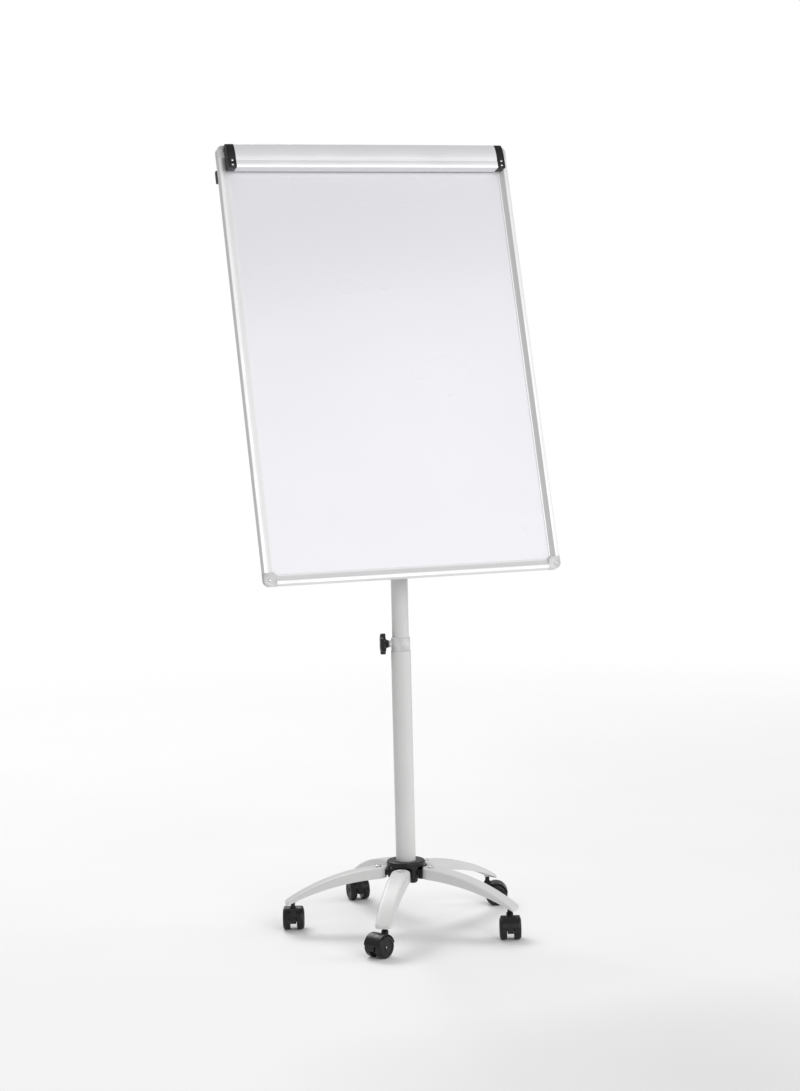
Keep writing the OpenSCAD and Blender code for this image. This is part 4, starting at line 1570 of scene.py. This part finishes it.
@dataclass
class PaperClamp:
    """Sprung bar that holds the pad, with its base, hooks and end caps.

    Attributes:
        board: The board that it stands on.
        palette: The finishes.
        length: Length over the end caps.
        cap_len: Length of an end cap.
        height: How far the bar reaches down from the board's top edge.
        front: How far its lip stands out of the board's front.
        wall: Thickness of the bar's skin.
        hinge: The hinge's axis as (up from the board's top edge, out of its front).
        turn_r: Radius of the bar's round over the hinge.
        leave_deg: Angle in degrees at which the face leaves that round.
        set_back: How far the face's lower end lies behind the lip.
        lip: Height of the lip.
        groove: Depth of the groove above the lip.
        grip: Thickness of the rubber grip.
        cap_back: How far the caps' back stands out of the board's front.
        cap_step: Distance of the caps' step down from the board's top edge.
    """

    board: Board
    palette: Palette
    length: float = 668 * MM
    cap_len: float = 19 * MM
    height: float = 61 * MM
    front: float = 26.5 * MM
    wall: float = 1.8 * MM
    hinge: Point2 = (-8.5 * MM, 10.5 * MM)
    turn_r: float = 8 * MM
    leave_deg: float = 55
    set_back: float = 0.7 * MM
    lip: float = 18 * MM
    groove: float = 1.7 * MM
    grip: float = 2.7 * MM
    cap_back: float = 0.7 * MM
    cap_step: float = 30 * MM

    def face(self, depth: float) -> list[Point2]:
        """The bar's front, from the hinge down to the lip.

        Args:
            depth: Depth inside the bar's skin.

        Returns:
            Points as (up from the board's top edge, out of its front).
        """
        hx, hy = self.hinge
        r = self.turn_r - depth
        front = self.front - self.set_back - depth
        turned = arc(hx, hy, r, -15, self.leave_deg, 12)
        start = turned[-1]
        leave = math.radians(self.leave_deg)
        reach = (front - start[1]) / math.cos(leave)
        bend = (start[0] - reach * math.sin(leave), front)
        end = (-self.height + self.lip + 2 * MM, front)
        steps = 22
        curved = []
        for k in range(1, steps + 1):
            t = k / steps
            curved.append(tuple(
                (1 - t) ** 2 * start[a] + 2 * t * (1 - t) * bend[a] + t * t * end[a]
                for a in (0, 1)
            ))
        return turned + curved

    def bar(self) -> None:
        """The drawn bar with the groove above its lip."""
        low, lip, front = -self.height, -self.height + self.lip, self.front
        foot = self.grip + 0.3 * MM - self.board.recess
        outer = [
            *self.face(0),
            (lip + 1.0 * MM, front - self.groove), (lip - 0.8 * MM, front - self.groove),
            (lip - 1.5 * MM, front - 0.2 * MM), (lip - 2 * MM, front),
            *arc(low + 1.2 * MM, front - 1.2 * MM, 1.2 * MM, 90, 180, 4),
            (low, foot),
        ]
        inner = [
            *self.face(self.wall), (low + self.wall, front - self.set_back - self.wall),
            (low + self.wall, foot),
        ]
        length = self.length - 2 * self.cap_len
        place = self.board.across(self.board.height, 0, -length / 2)
        shape = Shape().prism(outer + inner[::-1], length, place)
        bar = shape.make("clamp_bar_extrusion", self.palette.clamp, 28)
        fit(bar, "clamp", Slot.ALUMINIUM, "clamp_bar")

    def caps(self) -> None:
        """Black end caps with rounded edges."""
        low, front = -self.height, self.front
        outline = [
            *arc(*self.hinge, self.turn_r, -90, -15, 8)[:-1], *self.face(0),
            (low + self.lip, front - 0.2 * MM), (low + 3 * MM, front),
            *arc(low + 2 * MM, front - 2 * MM, 2 * MM, 90, 180, 5),
            (low, self.cap_back), (-self.cap_step, self.cap_back),
        ]
        shape = Shape()
        half = self.length / 2
        for start in (-half, half - self.cap_len):
            place = self.board.across(self.board.height, 0, start)
            shape.prism(outline, self.cap_len, place, 1.1 * MM, 3, 25)
        caps = shape.make("clamp_end_mouldings", self.palette.black, 30)
        fit(caps, "clamp", Slot.BLACK_PLASTIC, "clamp_end_caps")
        self.board.soften(
            "clamp_cap_screws", "clamp_screw_heads", self.palette.bright, Slot.STEEL,
            0.2 * MM, "clamp",
        )

    def build(self) -> None:
        """Builds the clamp from its base outwards."""
        p, soften = self.palette, self.board.soften
        soften("clamp_base", "clamp_base_rail", p.across, Slot.ALUMINIUM, 0.2 * MM)
        soften("clamp_pin", "clamp_pin_rod", p.bright, Slot.STEEL, 0.5 * MM, "clamp")
        soften("clamp_grip", "clamp_grip_strip", p.rubber, Slot.RUBBER, 0.4 * MM, "clamp")
        soften("clamp_springs", "clamp_spring_coils", p.bright, Slot.STEEL, 0)
        for side in ("left", "right"):
            node = f"pad_hook_{side}"
            soften(node, f"{node}_peg", p.bright, Slot.STEEL, 0.4 * MM, f"hook_{side}")
        self.bar()
        self.caps()


# ------------------------------------------------------------------ studio


@dataclass(frozen=True)
class Lamp:
    """One soft rectangular light.

    Attributes:
        name: Name of the light.
        place: Where it hangs.
        size: Its width and height in metres.
        power: Its power in watts.
    """

    name: str
    place: tuple[float, float, float]
    size: tuple[float, float]
    power: float

    def hang(self, aim: Vector) -> None:
        """Hangs the lamp in the scene, out of the camera's sight.

        Args:
            aim: Point that it faces.
        """
        data = bpy.data.lights.new(self.name, "AREA")
        data.shape = "RECTANGLE"
        data.size, data.size_y = self.size
        data.energy = self.power
        lamp = bpy.data.objects.new(self.name, data)
        place = Vector(self.place)
        lamp.matrix_world = axis_matrix(place, place - aim)
        lamp.visible_camera = False
        bpy.context.scene.collection.objects.link(lamp)


@dataclass
class Studio:
    """Camera, soft light and a plain pale floor.

    Attributes:
        azimuth: Angle of the view to the side, in degrees.
        elevation: Angle of the view from above, in degrees.
        roll: Turn of the camera about its own axis, in degrees.
        target_side: How far the view's middle lies to the right of the column.
        target_height: Height of the view's middle.
        distance: Distance of the camera from the view's middle.
        lens: Focal length in millimetres.
        sensor: Width of the sensor in millimetres.
        far: Distance up to which the camera sees.
        lamps: The lights: a broad key in front, one at the side and one behind.
        lamp_aim: Height of the point on the column that the lamps face.
        floor_size: Length of the floor's sides.
        surround: Strength of the pale surround as a light.
    """

    azimuth: float = -19.78
    elevation: float = 5.12
    roll: float = -1.385
    target_side: float = 3.8 * MM
    target_height: float = 0.874
    distance: float = 5.214
    lens: float = 76.1
    sensor: float = 36
    far: float = 200
    lamps: tuple[Lamp, ...] = (
        Lamp("key", (1.1, -5.1, 3.1), (3.8, 3.0), 120),
        Lamp("side", (4.8, -1.2, 2.2), (1.6, 2.4), 45),
        Lamp("rear", (-0.6, 3.8, 4.2), (3.2, 2.2), 150),
    )
    lamp_aim: float = 1.1
    floor_size: float = 10.0
    surround: float = 0.45

    def camera(self) -> None:
        """Camera at the chosen view."""
        turn, rise, roll = (math.radians(a) for a in (self.azimuth, self.elevation, self.roll))
        right = Vector((math.cos(turn), math.sin(turn), 0))
        back = Vector(
            (math.sin(turn) * math.cos(rise), -math.cos(turn) * math.cos(rise), math.sin(rise))
        )
        up = back.cross(right)
        rolled = right * math.cos(roll) + up * math.sin(roll)
        target = right * self.target_side + Vector((0, 0, self.target_height))
        data = bpy.data.cameras.new("camera")
        data.sensor_width = self.sensor
        data.sensor_fit = "AUTO"
        data.lens = self.lens
        data.clip_end = self.far
        camera = bpy.data.objects.new("camera", data)
        camera.matrix_world = frame_matrix(target + back * self.distance, rolled, back)
        bpy.context.scene.collection.objects.link(camera)
        bpy.context.scene.camera = camera

    def light(self) -> None:
        """The lamps, and a surround that is pale as a light and white to the camera."""
        for lamp in self.lamps:
            lamp.hang(Vector((0, 0, self.lamp_aim)))
        world = bpy.data.worlds.new("studio")
        world.use_nodes = True
        tree = world.node_tree
        background = tree.nodes["Background"]
        background.inputs["Color"].default_value = (1.0, 1.0, 1.0, 1)
        path = tree.nodes.new("ShaderNodeLightPath")
        level = tree.nodes.new("ShaderNodeMapRange")
        level.inputs["To Min"].default_value = self.surround
        level.inputs["To Max"].default_value = 1.0
        tree.links.new(path.outputs["Is Camera Ray"], level.inputs["Value"])
        tree.links.new(level.outputs[0], background.inputs["Strength"])
        bpy.context.scene.world = world
        bpy.context.scene.view_settings.view_transform = "Standard"

    def floor(self) -> None:
        """A wide plain floor under the casters."""
        bm = bmesh.new()
        bmesh.ops.create_grid(bm, x_segments=1, y_segments=1, size=self.floor_size / 2)
        mesh = bpy.data.meshes.new("floor")
        bm.to_mesh(mesh)
        bm.free()
        mesh.materials.append(StudioFloor("studio_floor").material())
        floor = bpy.data.objects.new("floor", mesh)
        bpy.context.scene.collection.objects.link(floor)

    def build(self) -> None:
        """Sets the studio up."""
        self.camera()
        self.light()
        self.floor()


def main() -> None:
    """Builds the easel and its studio."""
    logging.basicConfig(level=logging.INFO, format="%(name)s: %(message)s")
    places = Places(frame)
    _, out = places.mount("writing_surface")
    palette = Palette(math.atan2(out.z, -out.y))
    Studio().build()
    Base(places, palette).build()
    for number in range(1, 6):
        Caster(places, palette, number).build()
    Mast(places, palette).build()
    board = Board(places, palette)
    board.build()
    PaperClamp(board, palette).build()


if __name__ == "__main__":
    main()
